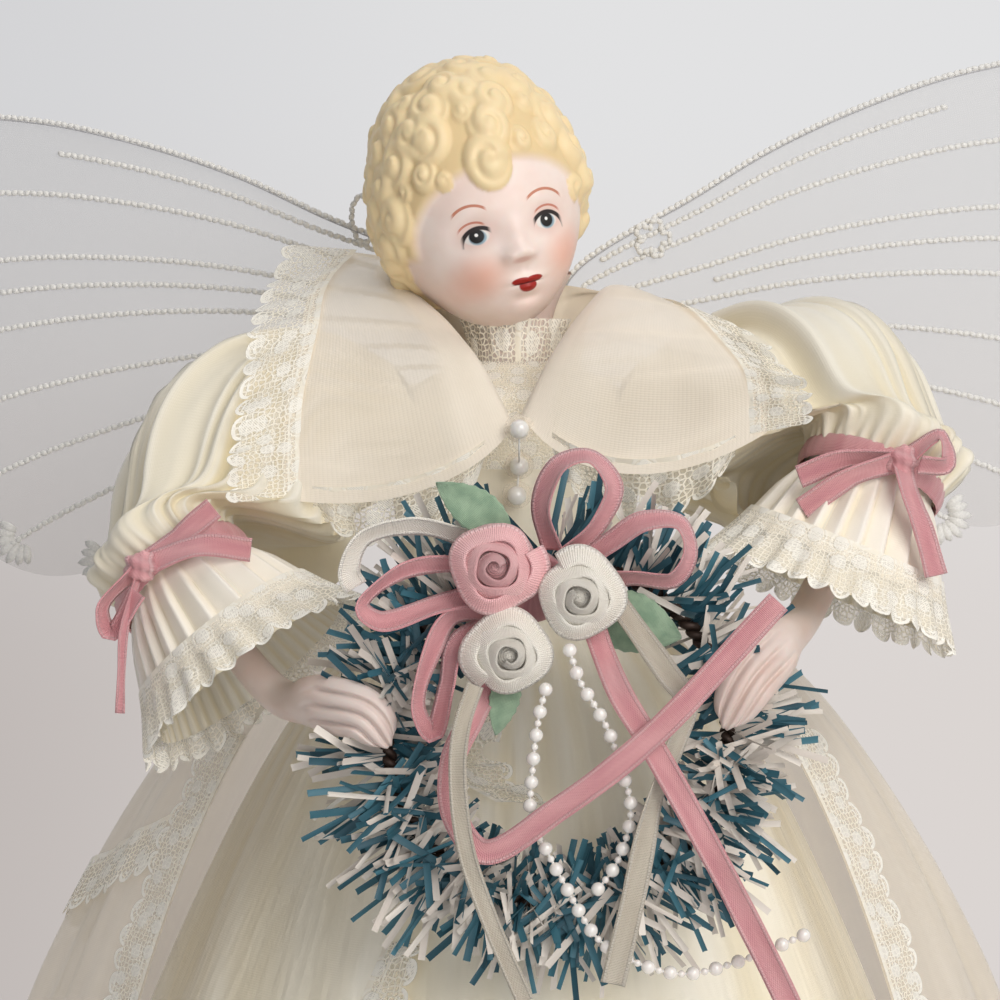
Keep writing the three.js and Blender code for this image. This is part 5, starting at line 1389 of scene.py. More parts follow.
class TOPPER_OT_hands(bpy.types.Operator):
    """Model the bisque forearms and hands that hold the wreath"""

    bl_idname = "topper.hands"
    bl_label = "Hands"

    def execute(self, context):
        wide_table, thick_table = (
            smooth_line([(row[0], row[k], 0) for row in HAND_OUTLINE])(np.linspace(0, 1, 400)) for k in (1, 2))
        for label in SIDES:
            line = hand_line(label)

            def at(u, v, line=line):
                angle = u * TAU
                along = line_direction(line, v)
                flat = unit(np.cross(along, BACK))
                deep = unit(np.cross(flat, along))
                wide = np.interp(v, wide_table[:, 0], wide_table[:, 1])
                thick = np.interp(v, thick_table[:, 0], thick_table[:, 1])
                across = np.cos(angle)
                grooves = sum(np.exp(-(((across - g) / 0.09) ** 2)) for g in FINGER_GROOVES)
                depth = 1 - 0.5 * grooves * smoothstep(v, 0.68, 0.8)
                reach = np.clip(v + 0.012 * np.cos(across * 3.1) * smoothstep(v, 0.85, 1), 0, 1)
                place = line(reach) + flat * (wide * across)[:, None]
                return place + deep * (thick * np.sin(angle) * depth)[:, None]

            bm = cloth_mesh(at, 96, 120, True, (20, 60))
            bmesh.ops.recalc_face_normals(bm, faces=bm.faces)
            hand = line(np.array((0.68, 0.74, 0.82, 0.88)))
            inner = -SIDES[label]
            beside = ((2.5, 1.5, 0), (4.8, 2.5, -0.5), (5.2, 4.2, -1.5), (3.6, 5.4, -2.0))
            thumb = smooth_line(hand + np.array(beside) * (inner, 1, 1))
            slim = cloth_mesh(tube_surface(thumb, lambda v: 1.75 * np.sqrt(np.clip(1 - v**6, 0, 1)) + 0.01),
                              24, 30, True)
            whole = join_meshes("hand", [(bm, 0), (slim, 0)])
            add_piece(context, f"bisque_hand_{label}", whole, "forearms",
                      [bisque_finish(context, "bisque_plain", False)], [f"hand_{label}"])
        return {"FINISHED"}


# Wreath and bouquet

PAD = on_ring(np.array(math.pi / 2)) + (-4.5, -2.9, -3.4)


def from_pad(points):
    """Places given across, forward and up from the bouquet's pad."""
    p = np.asarray(points, float)
    return np.stack((PAD[0] + p[:, 0], PAD[1] - p[:, 1], PAD[2] + p[:, 2]), -1)


class TOPPER_OT_pearl_strands(bpy.types.Operator):
    """String the two pearl strands that hang from the bouquet"""

    bl_idname = "topper.pearl_strands"
    bl_label = "Pearl strands"

    def execute(self, context):
        bead = small_mesh("bead", bmesh.ops.create_icosphere, subdivisions=3, radius=1.0)
        radius = context.scene.topper_sizes.bead_diameter / MM / 2
        for node, route in STRANDS.items():
            line = smooth_line(from_pad(route))
            curve = bpy.data.curves.new(f"{node}_thread", "CURVE")
            curve.dimensions = "3D"
            curve.bevel_depth = THREAD_RADIUS * MM
            curve.bevel_resolution = 2
            spline = curve.splines.new("POLY")
            places = line(np.linspace(0, 1, 40))
            spline.points.add(len(places) - 1)
            for point, place in zip(spline.points, places):
                point.co = (*(place * MM), 1.0)
            curve.materials.append(thread_finish(context, "white_thread"))
            thread = bpy.data.objects.new(f"{node}_thread", curve)
            context.scene.collection.objects.link(thread)
            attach(thread, "forearms")
            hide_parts(node)
            beads = bmesh.new()
            pitch = BEAD_PITCH * radius
            count = int(line.length / pitch)
            for i in range(count):
                size = radius if i % 2 == 0 else SMALL_BEAD * radius
                centre = line(np.array((i + 0.5) / count))
                stamp(beads, bead, lambda co, c=centre, s=size: co * s + c)
            row = add_piece(context, f"{node}_beads", beads, "forearms",
                            [pearl_finish(context, "glass_pearl")])
        return {"FINISHED"}


def lifted(places):
    """Places that ride on the forearms, with the arms lifted as far as they go."""
    turn = np.array(Matrix.Rotation(LIFT_MOST, 3, Vector(ELBOWS["left"] - ELBOWS["right"])))
    return (places - ELBOWS["left"]) @ turn.T + ELBOWS["left"]


def wire_core():
    """Two wires twisted round the wreath's ring."""
    angles = np.linspace(0, TAU, 240)
    out = unit(on_ring(angles) - WREATH_CENTRE)
    ahead = np.cross(out, unit(on_ring(angles + 1e-3) - on_ring(angles)))
    wires = []
    for phase in (0.0, math.pi):
        twist = (angles * 44 + phase)[:, None]
        line = smooth_line(on_ring(angles) + WIRE_RADIUS * (out * np.cos(twist) + ahead * np.sin(twist)))
        wires.append((cloth_mesh(tube_surface(line, WIRE_RADIUS), 7, 460, True), 2))
    return join_meshes("core", wires)


def held_places():
    """Places on the hands and leaf stems, and on the ribbons and strands."""
    hands = [hand_line(label)(np.linspace(0.45, 1, 14)) for label in SIDES]
    stems = [np.linspace((b[0], d, b[1]), (t[0], d, t[1]), 12) for b, t, _, d in LEAVES.values()]
    routes = (*PINK_LOOPS, WHITE_LOOP, *TAILS.values(), *STRANDS.values())
    ribbons = [smooth_line(from_pad(route))(np.linspace(0, 1, 36)) for route in routes]
    return np.vstack((*hands, *map(from_pad, stems))), np.vstack(ribbons)


def arm_cloth_places():
    """About 900 places on each puff sleeve and cuff hem, which stay still while the arms lift."""
    samples = []
    for name in (f"{part}_{label}" for label in SIDES for part in ("cuff_hem", "puff_sleeve")):
        places = [vert.co[:] for vert in bpy.data.objects[name].data.vertices]
        samples.append(places[::len(places) // 900])
    return np.vstack(samples) / MM


def too_near(places, others, room):
    return np.min(np.linalg.norm(places[:, None] - others[None], axis=2)) < room


def meets_figure(root, direction, length):
    """Whether a strip's tip runs into the bouquet, the buttons or the skirt."""
    x, y, z = root + direction * (length + 2)
    if math.hypot(x - PAD[0] - 1, z - PAD[2] + 3) < 15 and y < PAD[1] + 1:
        return True
    if abs(x - BUTTONS[1][0]) < 6 and z > BUTTONS[2][2]:
        return True
    drop = np.clip((WAIST_Z - z) / WAIST_Z, 0, 1)
    return math.hypot(x, y) < underskirt_radius(np.array(0.0), drop) + 1.5


class TOPPER_OT_wreath(bpy.types.Operator):
    """Twist the wreath's wire core and set its flat tinsel strips"""

    bl_idname = "topper.wreath"
    bl_label = "Wreath"

    def execute(self, context):
        sizes = context.scene.topper_sizes
        colours = context.scene.topper_colours
        scatter = np.random.default_rng(11)
        blade = small_mesh("strip", bmesh.ops.create_grid, x_segments=2, y_segments=5, size=0.5)
        strips = bmesh.new()
        shades = []
        hands, ribbons = held_places()
        arm_cloth = arm_cloth_places()
        length_most = sizes.strip_length / MM
        for number in range(sizes.strips):
            angle = TAU * (number + scatter.random()) / sizes.strips
            turn = scatter.normal(0, STRIP_SPREAD) + (math.pi if scatter.random() < STRIPS_INWARD else 0)
            crossing = scatter.random() < STRIPS_ACROSS
            root = on_ring(np.array(angle))
            out = unit(root - WREATH_CENTRE)
            along = unit(on_ring(np.array(angle + 1e-3)) - root)
            ahead = np.cross(out, along)
            lean = scatter.normal(0, STRIP_LEAN)
            direction = unit(out * math.cos(turn) + ahead * math.sin(turn) + along * lean)
            length = length_most * scatter.uniform(*((0.75, 1.4) if math.cos(turn) > 0 else (0.55, 0.86)))
            if crossing:
                direction = unit(out * math.cos(turn) + along * scatter.normal(0, 0.7) - BACK * 0.1)
                root = root - BACK * scatter.uniform(2.2, 4.5) - direction * length * scatter.uniform(0.2, 0.5)
            if direction[1] < -0.35:
                length = min(length, STRIP_FORWARD_MOST)
            if meets_figure(root, direction, length):
                continue
            probe = root + direction * np.linspace(2, length, 6)[:, None]
            if too_near(probe, hands, HAND_ROOM) or too_near(probe, ribbons, RIBBON_ROOM):
                continue
            if too_near(np.vstack((probe, lifted(probe))), arm_cloth, CLOTH_ROOM):
                continue
            wide = unit(np.cross(direction, unit(scatter.normal(size=3)) * 0.8 + ahead))
            thin = np.cross(direction, wide)
            curl = scatter.normal(0, 0.25)
            wide = wide * (sizes.strip_width / MM * scatter.uniform(0.75, 1.2))

            def move(co, root=root, along=direction * length, start=direction * 0.8, wide=wide, thin=thin,
                     curl=curl):
                share = co[:, 1:2] + 0.5
                cup = 0.18 * (1 - (2 * co[:, :1]) ** 2)
                return root + start + along * share + wide * co[:, :1] + thin * (curl * share**2 + cup)

            pale = scatter.random() < sizes.pale_share
            stamp(strips, blade, move, 1 if pale else 0)
            shades.append(scatter.random())
        layer = strips.faces.layers.float.new("strip_shade")
        per = len(blade.polygons)
        for i, face in enumerate(strips.faces):
            face[layer] = shades[i // per]
        whole = wire_core()
        whole.from_mesh(template_mesh("strips", strips))
        finishes = [
            tinsel_finish(context, "teal_tinsel", tuple(colours.teal_shade), tuple(colours.teal), 0.45),
            tinsel_finish(context, "pale_tinsel", tone(206, 197, 188), tone(236, 229, 220), 0.5),
            wire_finish(context, "twisted_wire", tone(66, 50, 42), 0.5, 0.5),
        ]
        nodes = ["wreath_top_left", "wreath_top_right", "wreath_bottom_left", "wreath_bottom_right"]
        add_piece(context, "tinsel_wreath", whole, "forearms", finishes, nodes)
        return {"FINISHED"}


def rose_mesh(x, z, radius, phase, width):
    """A ribbon rose: one ribbon wound in flat-sided rounds, each rim standing over the round inside it."""
    def set_out(ring, depth, turn):
        return from_pad(np.stack((x + ring * np.cos(turn), ROSE_BACK + depth, z + ring * np.sin(turn)), -1))

    def wound(u, v):
        turn = TAU * ROSE_WRAPS * v + phase
        sides = 1 + (0.03 + 0.07 * v) * np.cos(3.7 * turn)
        rim = (0.7 + (radius - 2.6) * v**0.9) * sides
        inside = np.minimum(u / 0.3, 1)
        outside = np.maximum((u - 0.3) / 0.7, 0)
        slope = outside**1.4
        ring = rim + 0.5 * (1 - inside) + ROSE_BAND * outside * (0.4 + 0.6 * v)
        depth = 7.4 - 3.0 * v - 1.5 * (1 - inside) - (1.9 + 0.9 * v) * slope
        return set_out(ring, depth + 0.25 * np.sin(2.3 * turn) * v, turn)

    def floor(u, v):
        return set_out(0.9 * radius * (1 - v), 0.8 + 5.4 * v, TAU * u)

    return join_meshes("rose", [
        (cloth_mesh(wound, 18, 260, False, (width, 90)), 0),
        (cloth_mesh(floor, 48, 8, True, (40, width), (PAD[0] + x, 0, PAD[2] + z)), 0)])


def leaf_mesh(base, tip, half_width, forward):
    """A cloth leaf with a notched edge, folded a little along its middle."""
    base, tip = np.array(base, float), np.array(tip, float)
    along = tip - base
    side = unit(np.array((-along[1], along[0])))
    length = np.linalg.norm(along)

    def at(u, v):
        across = 2 * u - 1
        width = half_width * np.sin(math.pi * np.clip(v, 0, 1) ** 0.85) ** 0.8
        notch = 0.5 * (np.abs((v * 8) % 1 - 0.5) - 0.25) * (np.abs(across) > 0.95) * np.sin(math.pi * v)
        flat = base + along * v[:, None] + side * (across * (width + notch))[:, None]
        fold = 0.5 * np.abs(across) * np.sin(math.pi * v) + 0.5 * np.sin(3 * v + across)
        return from_pad(np.stack((flat[:, 0], forward + 0.2 + 0.7 * fold, flat[:, 1]), -1))

    return cloth_mesh(at, 16, 64, False, (2 * half_width, length))


class TOPPER_OT_bouquet(bpy.types.Operator):
    """Fold the bow, roll the roses and set the leaves on the wreath"""

    bl_idname = "topper.bouquet"
    bl_label = "Bouquet"

    def execute(self, context):
        # Painted light: the roses and the white loop wear lighter copies of the pink and white ribbon, so that
        # their folds render lighter.
        lit_pink_rose = ribbon_finish(context, "pink_rose_ribbon", tone(252, 200, 202), tone(240, 176, 180))
        lit_white_rose = ribbon_finish(context, "white_rose_ribbon", tone(253, 249, 240), tone(245, 238, 225))
        width = context.scene.topper_sizes.ribbon_width / MM

        def pad(u, v):
            angle = u * TAU
            radius = 6.0 * np.where(v < 0.5, np.minimum(v * 2.2, 1), np.minimum((1 - v) * 2.2, 1))
            deep = np.where(v < 0.5, 0.0, 4.0) * np.minimum(np.maximum((v - 0.4) * 6, 0), 1)
            return from_pad(np.stack((radius * np.cos(angle), deep, radius * np.sin(angle)), -1))

        base = cloth_mesh(pad, 48, 24, True, (60, 24))
        bmesh.ops.recalc_face_normals(base, faces=base.faces)
        parts = [(base, 0)]
        for route in PINK_LOOPS:
            at = ribbon_surface(from_pad(route), width, (0.6, 1.0, 0.6), 0.35, 0.25)
            parts.append((ribbon_mesh(at, 8, 90, width), 0))
        add_piece(context, "bow_loops", join_meshes("loops", parts), "forearms",
                  [plain_ribbon(context, "pink")], ["pink_bow"], RIBBON_THICKNESS)
        at = ribbon_surface(from_pad(WHITE_LOOP), width, (0.5, 0.9, 0.5), 0.35, 0.25)
        add_piece(context, "white_ribbon_loop", ribbon_mesh(at, 8, 70, width), "forearms",
                  [lit_white_rose], ["white_loop"], RIBBON_THICKNESS)
        for node, (x, z, radius, phase) in ROSES.items():
            is_pink = node == "rose_pink"
            finish = lit_pink_rose if is_pink else lit_white_rose
            add_piece(context, f"ribbon_{node}", rose_mesh(x, z, radius, phase, width), "forearms",
                      [finish], [node], RIBBON_THICKNESS)
        for node, sizes in LEAVES.items():
            add_piece(context, f"cloth_{node}", leaf_mesh(*sizes), "forearms",
                      [leaf_finish(context, "leaf_cloth")], [node], LEAF_THICKNESS)
        return {"FINISHED"}


class TOPPER_OT_tails(bpy.types.Operator):
    """Hang the four ribbon tails"""

    bl_idname = "topper.tails"
    bl_label = "Ribbon tails"

    def execute(self, context):
        width = context.scene.topper_sizes.ribbon_width / MM
        for node, route in TAILS.items():
            hue, turns, share = TAIL_LOOKS[node]
            at = ribbon_surface(from_pad(route), width * share, turns, 0.3, 0.2)
            add_piece(context, f"ribbon_{node}", ribbon_mesh(at, 10, 150, width), "forearms",
                      [plain_ribbon(context, hue)], [node], RIBBON_THICKNESS)
        return {"FINISHED"}


# Wings

def wing_place(label, out, up, ahead):
    """A place on a wing's sheet: distance out from its hinge, up, and in front of the sheet."""
    side = SIDES[label]
    local = np.stack((side * (out + 0.35), -ahead + 0 * out, up), -1)
    return turned(turned(local, -WING_TILT[label], 2, 0), side * WING_SWEEP, 0, 1) + HINGES[label]


def wing_sheet():
    """The wing's outline as a patch: u from the hinge to the tips, v from the top to the bottom."""
    top = smooth_line([(*p, 0) for p in WING_TOP])
    bottom = smooth_line([(*p, 0) for p in reversed(WING_BOTTOM)])
    tips = []
    for (ax, ay), (bx, by) in zip(WING_TIPS, WING_TIPS[1:]):
        t = np.linspace(0, 1, 10, endpoint=False)[:, None]
        chord = unit(np.array((bx - ax, by - ay), float))
        swell = np.array(((ax + bx) / 2 - chord[1] * 4, (ay + by) / 2 + chord[0] * 4))
        tips.append((1 - t) ** 2 * np.array((ax, ay)) + 2 * t * (1 - t) * swell + t**2 * np.array((bx, by)))
    tips = np.vstack((*tips, np.array(WING_TIPS[-1], float)))
    shares = np.linspace(0, 1, len(tips))
    root = np.array(((0.0, 8.0), (0.0, -8.0)))

    def at(u, v):
        t, b = top(u)[:, :2], bottom(u)[:, :2]
        r = root[0] + (root[1] - root[0]) * v[:, None]
        e = between_rows(v, shares, tips)
        u, v = u[:, None], v[:, None]
        corner = (1 - u) * (1 - v) * root[0] + u * (1 - v) * tips[0] + (1 - u) * v * root[1] + u * v * tips[-1]
        return (1 - v) * t + v * b + (1 - u) * r + u * e - corner

    return at


def sew_chain(chains, knot, row):
    """Stitches that lean to either side along a row of places."""
    run = smooth_line(row)
    count = int(run.length / STITCH_PITCH)
    for i in range(count):
        s = np.array((i + 0.5) / count)
        centre = run(s) - (0, 0.45, 0)
        along = line_direction(run, s)
        across = unit(np.cross(along, BACK))
        aim = unit(along + across * (0.35 if i % 2 else -0.35))
        cross = unit(np.cross(aim, BACK))
        stamp(chains, knot, lambda co, c=centre, a=aim, x=cross:
              c + co[:, :1] * a * 0.95 + co[:, 1:2] * BACK * 0.45 + co[:, 2:] * x * 0.58)


def sew_tips(chains, knot, label, shape):
    """A fan of seven petals at the end of each row of stitches."""
    scatter = np.random.default_rng(5)
    for k in range(WING_ROWS):
        share = np.array([k / (WING_ROWS - 1)])
        centre = shape(np.array([0.93]), share)[0]
        aim = unit(shape(np.array([1.0]), share)[0] - centre)
        cross = np.array((-aim[1], aim[0]))
        for petal in range(7):
            fan = (petal - 3) * 0.36
            ray = aim * math.cos(fan) + cross * math.sin(fan)
            beside = np.array((-ray[1], ray[0]))
            length = 4.6 + 0.5 * scatter.random() - 0.3 * abs(petal - 3)
            middle = centre + ray * (1.6 + length * 0.55)

            def move(co, m=middle, r=ray, b=beside, n=length):
                flat = m + co[:, :1] * r * n * 0.6 + co[:, 2:] * b * 0.95
                return wing_place(label, flat[:, 0], flat[:, 1], 0.5 + co[:, 1] * 0.4)

            stamp(chains, knot, move)


class TOPPER_OT_wings(bpy.types.Operator):
    """Cut the sheer wings, embroider them and wire their top edges"""

    bl_idname = "topper.wings"
    bl_label = "Wings"

    def execute(self, context):
        plate = bmesh.new()
        bmesh.ops.create_cube(plate, size=1.0)
        bmesh.ops.scale(plate, vec=PLATE_SIZE, verts=plate.verts)
        bmesh.ops.bevel(plate, geom=plate.edges[:], offset=1.1, segments=4, profile=0.5, affect="EDGES",
                        material=-1)
        bmesh.ops.translate(plate, vec=PLATE_PLACE, verts=plate.verts)
        map_cloth(plate, lambda vert: (vert.co.x + 7, vert.co.z - 229))
        add_piece(context, "wing_plate_cover", plate, "body", [satin_finish(context, "ivory_satin")],
                  ["wing_plate"])
        shape = wing_sheet()
        knot = small_mesh("stitch", bmesh.ops.create_uvsphere, u_segments=6, v_segments=4, radius=1.0)
        for label in SIDES:
            body = f"{label}_wing"

            def sheet(u, v, label=label):
                flat = shape(u, v)
                return wing_place(label, flat[:, 0], flat[:, 1], 0.5 * np.sin(u * 7 + v * 3) * u)

            bm = cloth_mesh(sheet, 70, 84, False, (130, 90), (0, 60, 248))
            wing = add_piece(context, f"organza_wing_{label}", bm, body,
                             [wing_finish(context, "wing_organza")], [f"wing_sheet_{label}"])
            lines = [(k / (WING_ROWS - 1), 0.02, 0.985) for k in range(WING_ROWS)]
            lines += [(0.06, 0.1, 0.6), (0.35, 0.25, 0.8)]
            rows = [sheet(np.linspace(start, end, 37), np.full(37, share)) for share, start, end in lines]
            turn = np.linspace(0, TAU, 25)
            if label == "left":
                rows.append(wing_place(label, 20 + 2.2 * np.cos(turn), 27 + 4.4 * np.sin(turn), 0.3))
            else:
                reach = 3.6 * (0.5 + 0.5 * np.abs(np.cos(2.5 * turn)))
                rows.append(wing_place(label, 20 + reach * np.cos(turn), 21 + reach * np.sin(turn), 0.6))
            chains = bmesh.new()
            for row in rows:
                sew_chain(chains, knot, row)
            sew_tips(chains, knot, label, shape)
            trim = add_piece(context, f"wing_embroidery_{label}", chains, body,
                             [thread_finish(context, "white_thread")])
            line = smooth_line(wing_place(label, *(np.array(WING_TOP, float).T - [[0], [0.5]]), 1.1))
            edge = cloth_mesh(tube_surface(line, 0.13), 8, 120, True)
            finish = wire_finish(context, "grey_monofilament", tone(190, 190, 194), 0.0, 0.3)
            add_piece(context, f"wing_edge_wire_{label}", edge, body, [finish], [f"wing_wire_{label}"])
        return {"FINISHED"}


class TOPPER_OT_frame_parts(bpy.types.Operator):
    """Finish the card cone, the body form and the arm wire, which keep their solids"""

    bl_idname = "topper.frame_parts"
    bl_label = "Cone, form and wire"

    def execute(self, context):
        finishes = {
            "base_cone": board_finish(context, "grey_board", tone(214, 203, 182), tone(190, 176, 150), 60.0),
            "torso_form": board_finish(context, "foam", tone(240, 234, 220), tone(222, 214, 198), 220.0),
            "arm_wire": wire_finish(context, "steel_wire", tone(150, 150, 154), 1.0, 0.35),
        }
        for node, finish in finishes.items():
            solid = bpy.data.objects[node]
            solid.data.materials.clear()
            solid.data.materials.append(finish)
        return {"FINISHED"}


# Stage

# The paper sweep, in metres: its floor, the bend behind it and its wall.
SWEEP_WIDTH = 5.0
SWEEP_LENGTH = 4.2
SWEEP_FRONT = -1.4
SWEEP_FLOOR = 1.65
SWEEP_BEND = 0.5
SWEEP_RADIUS = 0.318


def seen_rays(tree):
    """One for rays from the eye, a mirror or a clear sheet, nought for rays that carry light."""
    rays = tree.nodes.new("ShaderNodeLightPath")
    seen = rays.outputs["Is Camera Ray"]
    for name in ("Is Glossy Ray", "Is Transmission Ray"):
        most = tree.nodes.new("ShaderNodeMath")
        most.operation = "MAXIMUM"
        tree.links.new(seen, most.inputs[0])
        tree.links.new(rays.outputs[name], most.inputs[1])
        seen = most.outputs[0]
    return seen


def blend_shaders(tree, share, first, second):
    blend = tree.nodes.new("ShaderNodeMixShader")
    for socket, source in zip(blend.inputs, (share, first, second)):
        tree.links.new(source, socket)
    return blend.outputs[0]


def studio_world(scene, ambient):
    """Even light all round, with a pale background where it is seen."""
    world = bpy.data.worlds.new("studio")
    world.use_nodes = True
    tree = world.node_tree
    sky = tree.nodes["Background"]
    sky.inputs["Color"].default_value = (0.9, 0.88, 0.86, 1.0)
    sky.inputs["Strength"].default_value = ambient
    pale = tree.nodes.new("ShaderNodeBackground")
    pale.inputs["Color"].default_value = (*tone(219, 217, 217), 1.0)
    whole = blend_shaders(tree, seen_rays(tree), sky.outputs[0], pale.outputs[0])
    tree.links.new(whole, tree.nodes["World Output"].inputs["Surface"])
    scene.world = world


def sweep_paper():
    """Pale paper that glows with painted light where it is seen behind the figure, darker to the left and at
    the bottom, and is clear from behind.
    """
    f = Finish("paper_sweep", tone(226, 225, 225), 0.9)
    tree = f.material.node_tree
    across, back, up = f.node("SeparateXYZ", {0: f.places()})
    # Painted light: the glow is darker to the left and towards the floor.
    side = f.ease(across, -0.2, 0.05)
    low = f.mix(side, tone(190, 183, 180), tone(219, 213, 210))
    high = f.mix(side, tone(211, 211, 213), tone(226, 226, 227))
    glow = f.node("Emission", {"Color": f.mix(f.ease(up, 0.1, 0.3), low, high)})[0]
    shown = f.times(seen_rays(tree), f.ease(back, 0.2, 0.4))
    front = blend_shaders(tree, shown, f.shader.outputs[0], glow)
    whole = blend_shaders(tree, f.node("NewGeometry")["Backfacing"], front, f.node("BsdfTransparent")[0])
    f.links.new(whole, f.nodes["Material Output"].inputs["Surface"])
    return f.material


class TOPPER_OT_stage(bpy.types.Operator):
    """Set the camera, the soft studio lights, the floor and the pale backdrop"""

    bl_idname = "topper.stage"
    bl_label = "Stage"

    def execute(self, context):
        scene = context.scene
        settings = scene.topper_stage
        scene.view_settings.view_transform = "Standard"
        lens = bpy.data.cameras.new("photo_camera")
        lens.sensor_width = 36.0
        lens.lens = settings.lens
        lens.clip_start = 0.01
        camera = bpy.data.objects.new("photo_camera", lens)
        scene.collection.objects.link(camera)
        lift = settings.elevation
        back = Vector((0, -math.cos(lift), math.sin(lift)))
        camera.location = Vector(settings.target) + back * settings.distance
        camera.rotation_euler = (math.pi / 2 - lift, 0, 0)
        scene.camera = camera

        for name, place, size, energy, colour in (
            ("key", (0.7, -1.12, 0.95), 1.0, settings.key_power, (1.0, 0.97, 0.93)),
            ("fill", (0.05, -1.4, 0.1), 0.7, settings.fill_power, (0.95, 0.97, 1.0)),
            ("top", (-0.1, 0.25, 1.3), 0.8, settings.top_power, (1.0, 1.0, 1.0)),
        ):
            lamp = bpy.data.lights.new(name, "AREA")
            lamp.size = size
            lamp.energy = energy
            lamp.color = colour
            light = bpy.data.objects.new(name, lamp)
            light.location = place
            aim = Vector((0, 0, 0.2)) - light.location
            light.rotation_euler = aim.to_track_quat("-Z", "Y").to_euler()
            scene.collection.objects.link(light)
        studio_world(scene, settings.ambient)

        bm = bmesh.new()
        bmesh.ops.create_grid(bm, x_segments=1, y_segments=40, size=0.5)
        for vert in bm.verts:
            run = (vert.co.y + 0.5) * SWEEP_LENGTH
            bend = min(max((run - SWEEP_FLOOR) / SWEEP_BEND, 0.0), 1.0) * math.pi / 2
            ahead = SWEEP_FRONT + min(run, SWEEP_FLOOR) + SWEEP_RADIUS * math.sin(bend)
            height = SWEEP_RADIUS * (1 - math.cos(bend)) + max(run - SWEEP_FLOOR - SWEEP_BEND, 0.0)
            vert.co = (vert.co.x * SWEEP_WIDTH, ahead, height)
        mesh = template_mesh("sweep", bm)
        mesh.polygons.foreach_set("use_smooth", np.ones(len(mesh.polygons), bool))
        mesh.materials.append(sweep_paper())
        sweep = bpy.data.objects.new("paper_sweep", mesh)
        scene.collection.objects.link(sweep)
        return {"FINISHED"}


# Settings and panel

def colour_property(name, description, rgb):
    return bpy.props.FloatVectorProperty(
        name=name, description=description, subtype="COLOR", size=3, min=0.0, max=1.0, default=tone(*rgb))


def length_property(name, description, metres):
    return bpy.props.FloatProperty(name=name, description=description, default=metres, unit="LENGTH")


def power_property(name, description, watts):
    return bpy.props.FloatProperty(name=name, description=description, default=watts, unit="POWER")


class TopperSizes(bpy.types.PropertyGroup):
    """Sizes of the trimmings"""

    ribbon_width: length_property("Ribbon width", "Width of the ribbons", 0.0043)
    bead_diameter: length_property("Bead diameter", "Size of the large beads on the strands", 0.0024)
    strips: bpy.props.IntProperty(name="Strips", description="Tinsel strips tried on the wreath", default=1750)
    strip_length: length_property("Strip length", "Length of a tinsel strip", 0.0128)
    strip_width: length_property("Strip width", "Width of a tinsel strip", 0.00112)
    pale_share: bpy.props.FloatProperty(
        name="Pale strips", description="Share of the strips that are off-white", default=0.46,
        subtype="FACTOR")


class TopperColours(bpy.types.PropertyGroup):
    """Colours of the cloth, ribbon, bisque and tinsel"""

    satin: colour_property("Satin", "Ivory satin in the light", (238, 233, 219))
    satin_shade: colour_property("Satin shade", "Ivory satin between its highlights", (233, 226, 208))
    # Painted shade of the ivory satin in its folds and on its undersides.
    satin_fold: colour_property("Satin folds", "Ivory satin deep in its folds", (224, 210, 172))
    organza: colour_property("Organza", "Organza of the collar and overskirt", (246, 237, 222))
    organza_shade: colour_property("Organza shade", "Organza where it gathers", (230, 218, 200))
    lace: colour_property("Lace", "Dense stitches of the lace", (253, 250, 241))
    lace_shade: colour_property("Lace ground", "Net ground of the lace", (245, 238, 222))
    pink: colour_property("Pink ribbon", "Pink ribbon in the light", (238, 174, 178))
    pink_shade: colour_property("Pink shade", "Pink ribbon between its highlights", (212, 136, 144))
    # Painted shade: the white tails are a darker copy of the white ribbon that the roses and the loop show.
    white: colour_property("White ribbon", "White ribbon in the light", (212, 203, 187))
    white_shade: colour_property("White shade", "White ribbon between its highlights", (190, 178, 160))
    leaf: colour_property("Leaf", "Cloth of the leaves", (172, 200, 170))
    leaf_shade: colour_property("Leaf shade", "Darker patches of the leaves", (138, 170, 142))
    teal: colour_property("Teal", "Light side of the tinsel strips", (70, 122, 138))
    teal_shade: colour_property("Teal shade", "Dark side of the tinsel strips", (24, 64, 78))
    pearl: colour_property("Pearl", "Beads and buttons", (236, 224, 212))
    skin: colour_property("Skin", "Bisque of the face and hands", (250, 234, 227))
    skin_shade: colour_property("Skin shade", "Warmer patches of the bisque", (240, 216, 206))
    hair: colour_property("Hair", "Moulded curls in the light", (244, 222, 178))
    # Painted shade in the hair's grooves and low places.
    hair_shade: colour_property("Hair shade", "Glaze in the hair's grooves", (212, 178, 118))
    wing: colour_property("Wing", "Sheer sheet of the wings", (200, 198, 198))


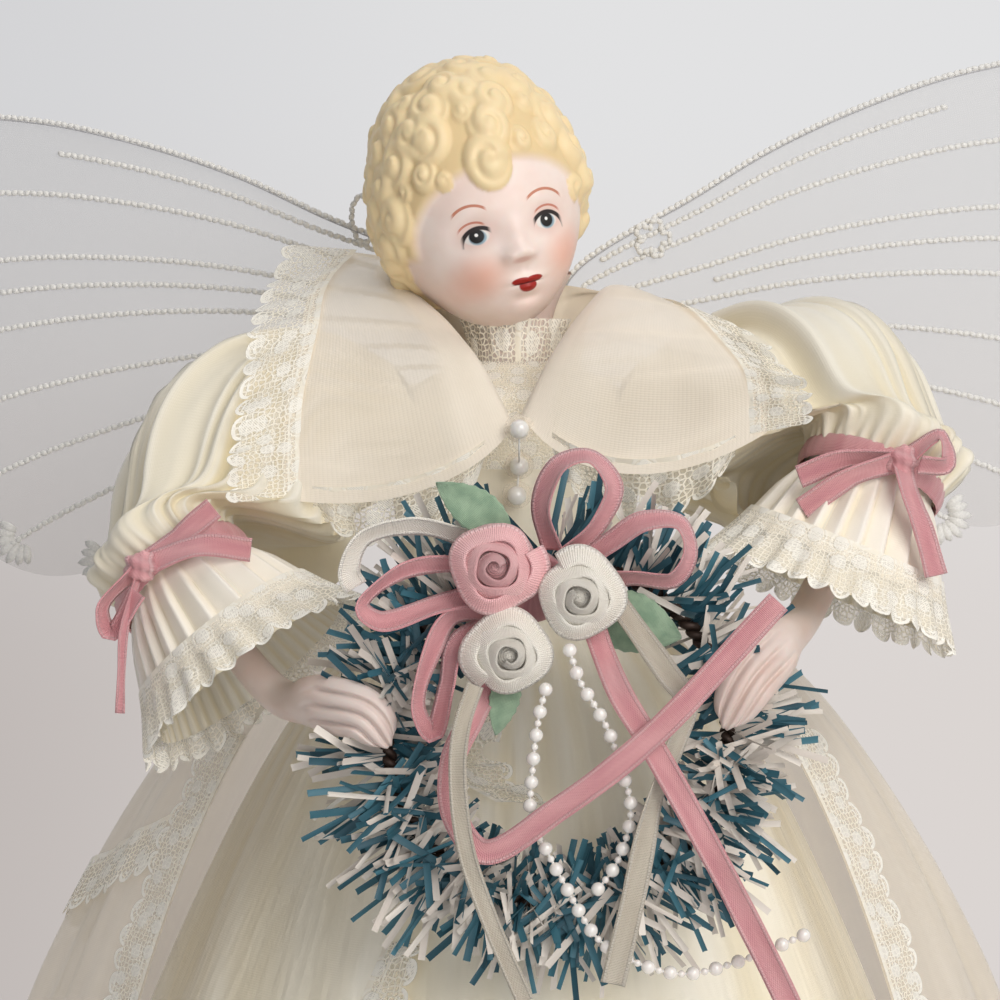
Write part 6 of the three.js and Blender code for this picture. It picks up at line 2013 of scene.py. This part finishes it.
class TopperStage(bpy.types.PropertyGroup):
    """Camera and lights"""

    target: bpy.props.FloatVectorProperty(
        name="Target", description="Place that the camera looks at", default=(-0.0028, 0.0, 0.223),
        unit="LENGTH")
    distance: length_property("Distance", "Camera's distance from the target", 0.8)
    elevation: bpy.props.FloatProperty(
        name="Elevation", description="Camera's angle above level", default=math.radians(6), subtype="ANGLE")
    lens: bpy.props.FloatProperty(name="Lens", description="Focal length in millimetres", default=155.5)
    key_power: power_property("Key", "Power of the key light", 15.2)
    fill_power: power_property("Fill", "Power of the fill light", 3.2)
    top_power: power_property("Top", "Power of the top light", 3.0)
    ambient: bpy.props.FloatProperty(name="Ambient", description="Strength of the even light", default=0.24)


class VIEW3D_PT_topper(bpy.types.Panel):
    """Lists the pieces of the topper"""

    bl_label = "Angel tree topper"
    bl_space_type = "VIEW_3D"
    bl_region_type = "UI"
    bl_category = "Topper"

    def draw(self, context):
        layout = self.layout
        for step in STEPS:
            layout.operator(step.bl_idname)
        for group in (context.scene.topper_sizes, context.scene.topper_colours, context.scene.topper_stage):
            for name in group.bl_rna.properties.keys():
                if name not in {"rna_type", "name"}:
                    layout.prop(group, name)


STEPS = (
    TOPPER_OT_stage,
    TOPPER_OT_pearl_strands,
    TOPPER_OT_frame_parts,
    TOPPER_OT_skirts,
    TOPPER_OT_bodice,
    TOPPER_OT_collar,
    TOPPER_OT_head,
    TOPPER_OT_sleeves,
    TOPPER_OT_hands,
    TOPPER_OT_wreath,
    TOPPER_OT_bouquet,
    TOPPER_OT_tails,
    TOPPER_OT_wings,
)
GROUPS = {"topper_sizes": TopperSizes, "topper_colours": TopperColours, "topper_stage": TopperStage}


def register():
    for name, group in GROUPS.items():
        bpy.utils.register_class(group)
        setattr(bpy.types.Scene, name, bpy.props.PointerProperty(type=group))
    for step in STEPS:
        bpy.utils.register_class(step)
    bpy.utils.register_class(VIEW3D_PT_topper)


def unregister():
    bpy.utils.unregister_class(VIEW3D_PT_topper)
    for step in reversed(STEPS):
        bpy.utils.unregister_class(step)
    for name, group in GROUPS.items():
        delattr(bpy.types.Scene, name)
        bpy.utils.unregister_class(group)


def main():
    register()
    bpy.ops.topper.stage()
    bpy.ops.topper.pearl_strands()
    bpy.ops.topper.frame_parts()
    bpy.ops.topper.skirts()
    bpy.ops.topper.bodice()
    bpy.ops.topper.collar()
    bpy.ops.topper.head()
    bpy.ops.topper.sleeves()
    bpy.ops.topper.hands()
    bpy.ops.topper.wreath()
    bpy.ops.topper.bouquet()
    bpy.ops.topper.tails()
    bpy.ops.topper.wings()


if __name__ == "__main__":
    main()
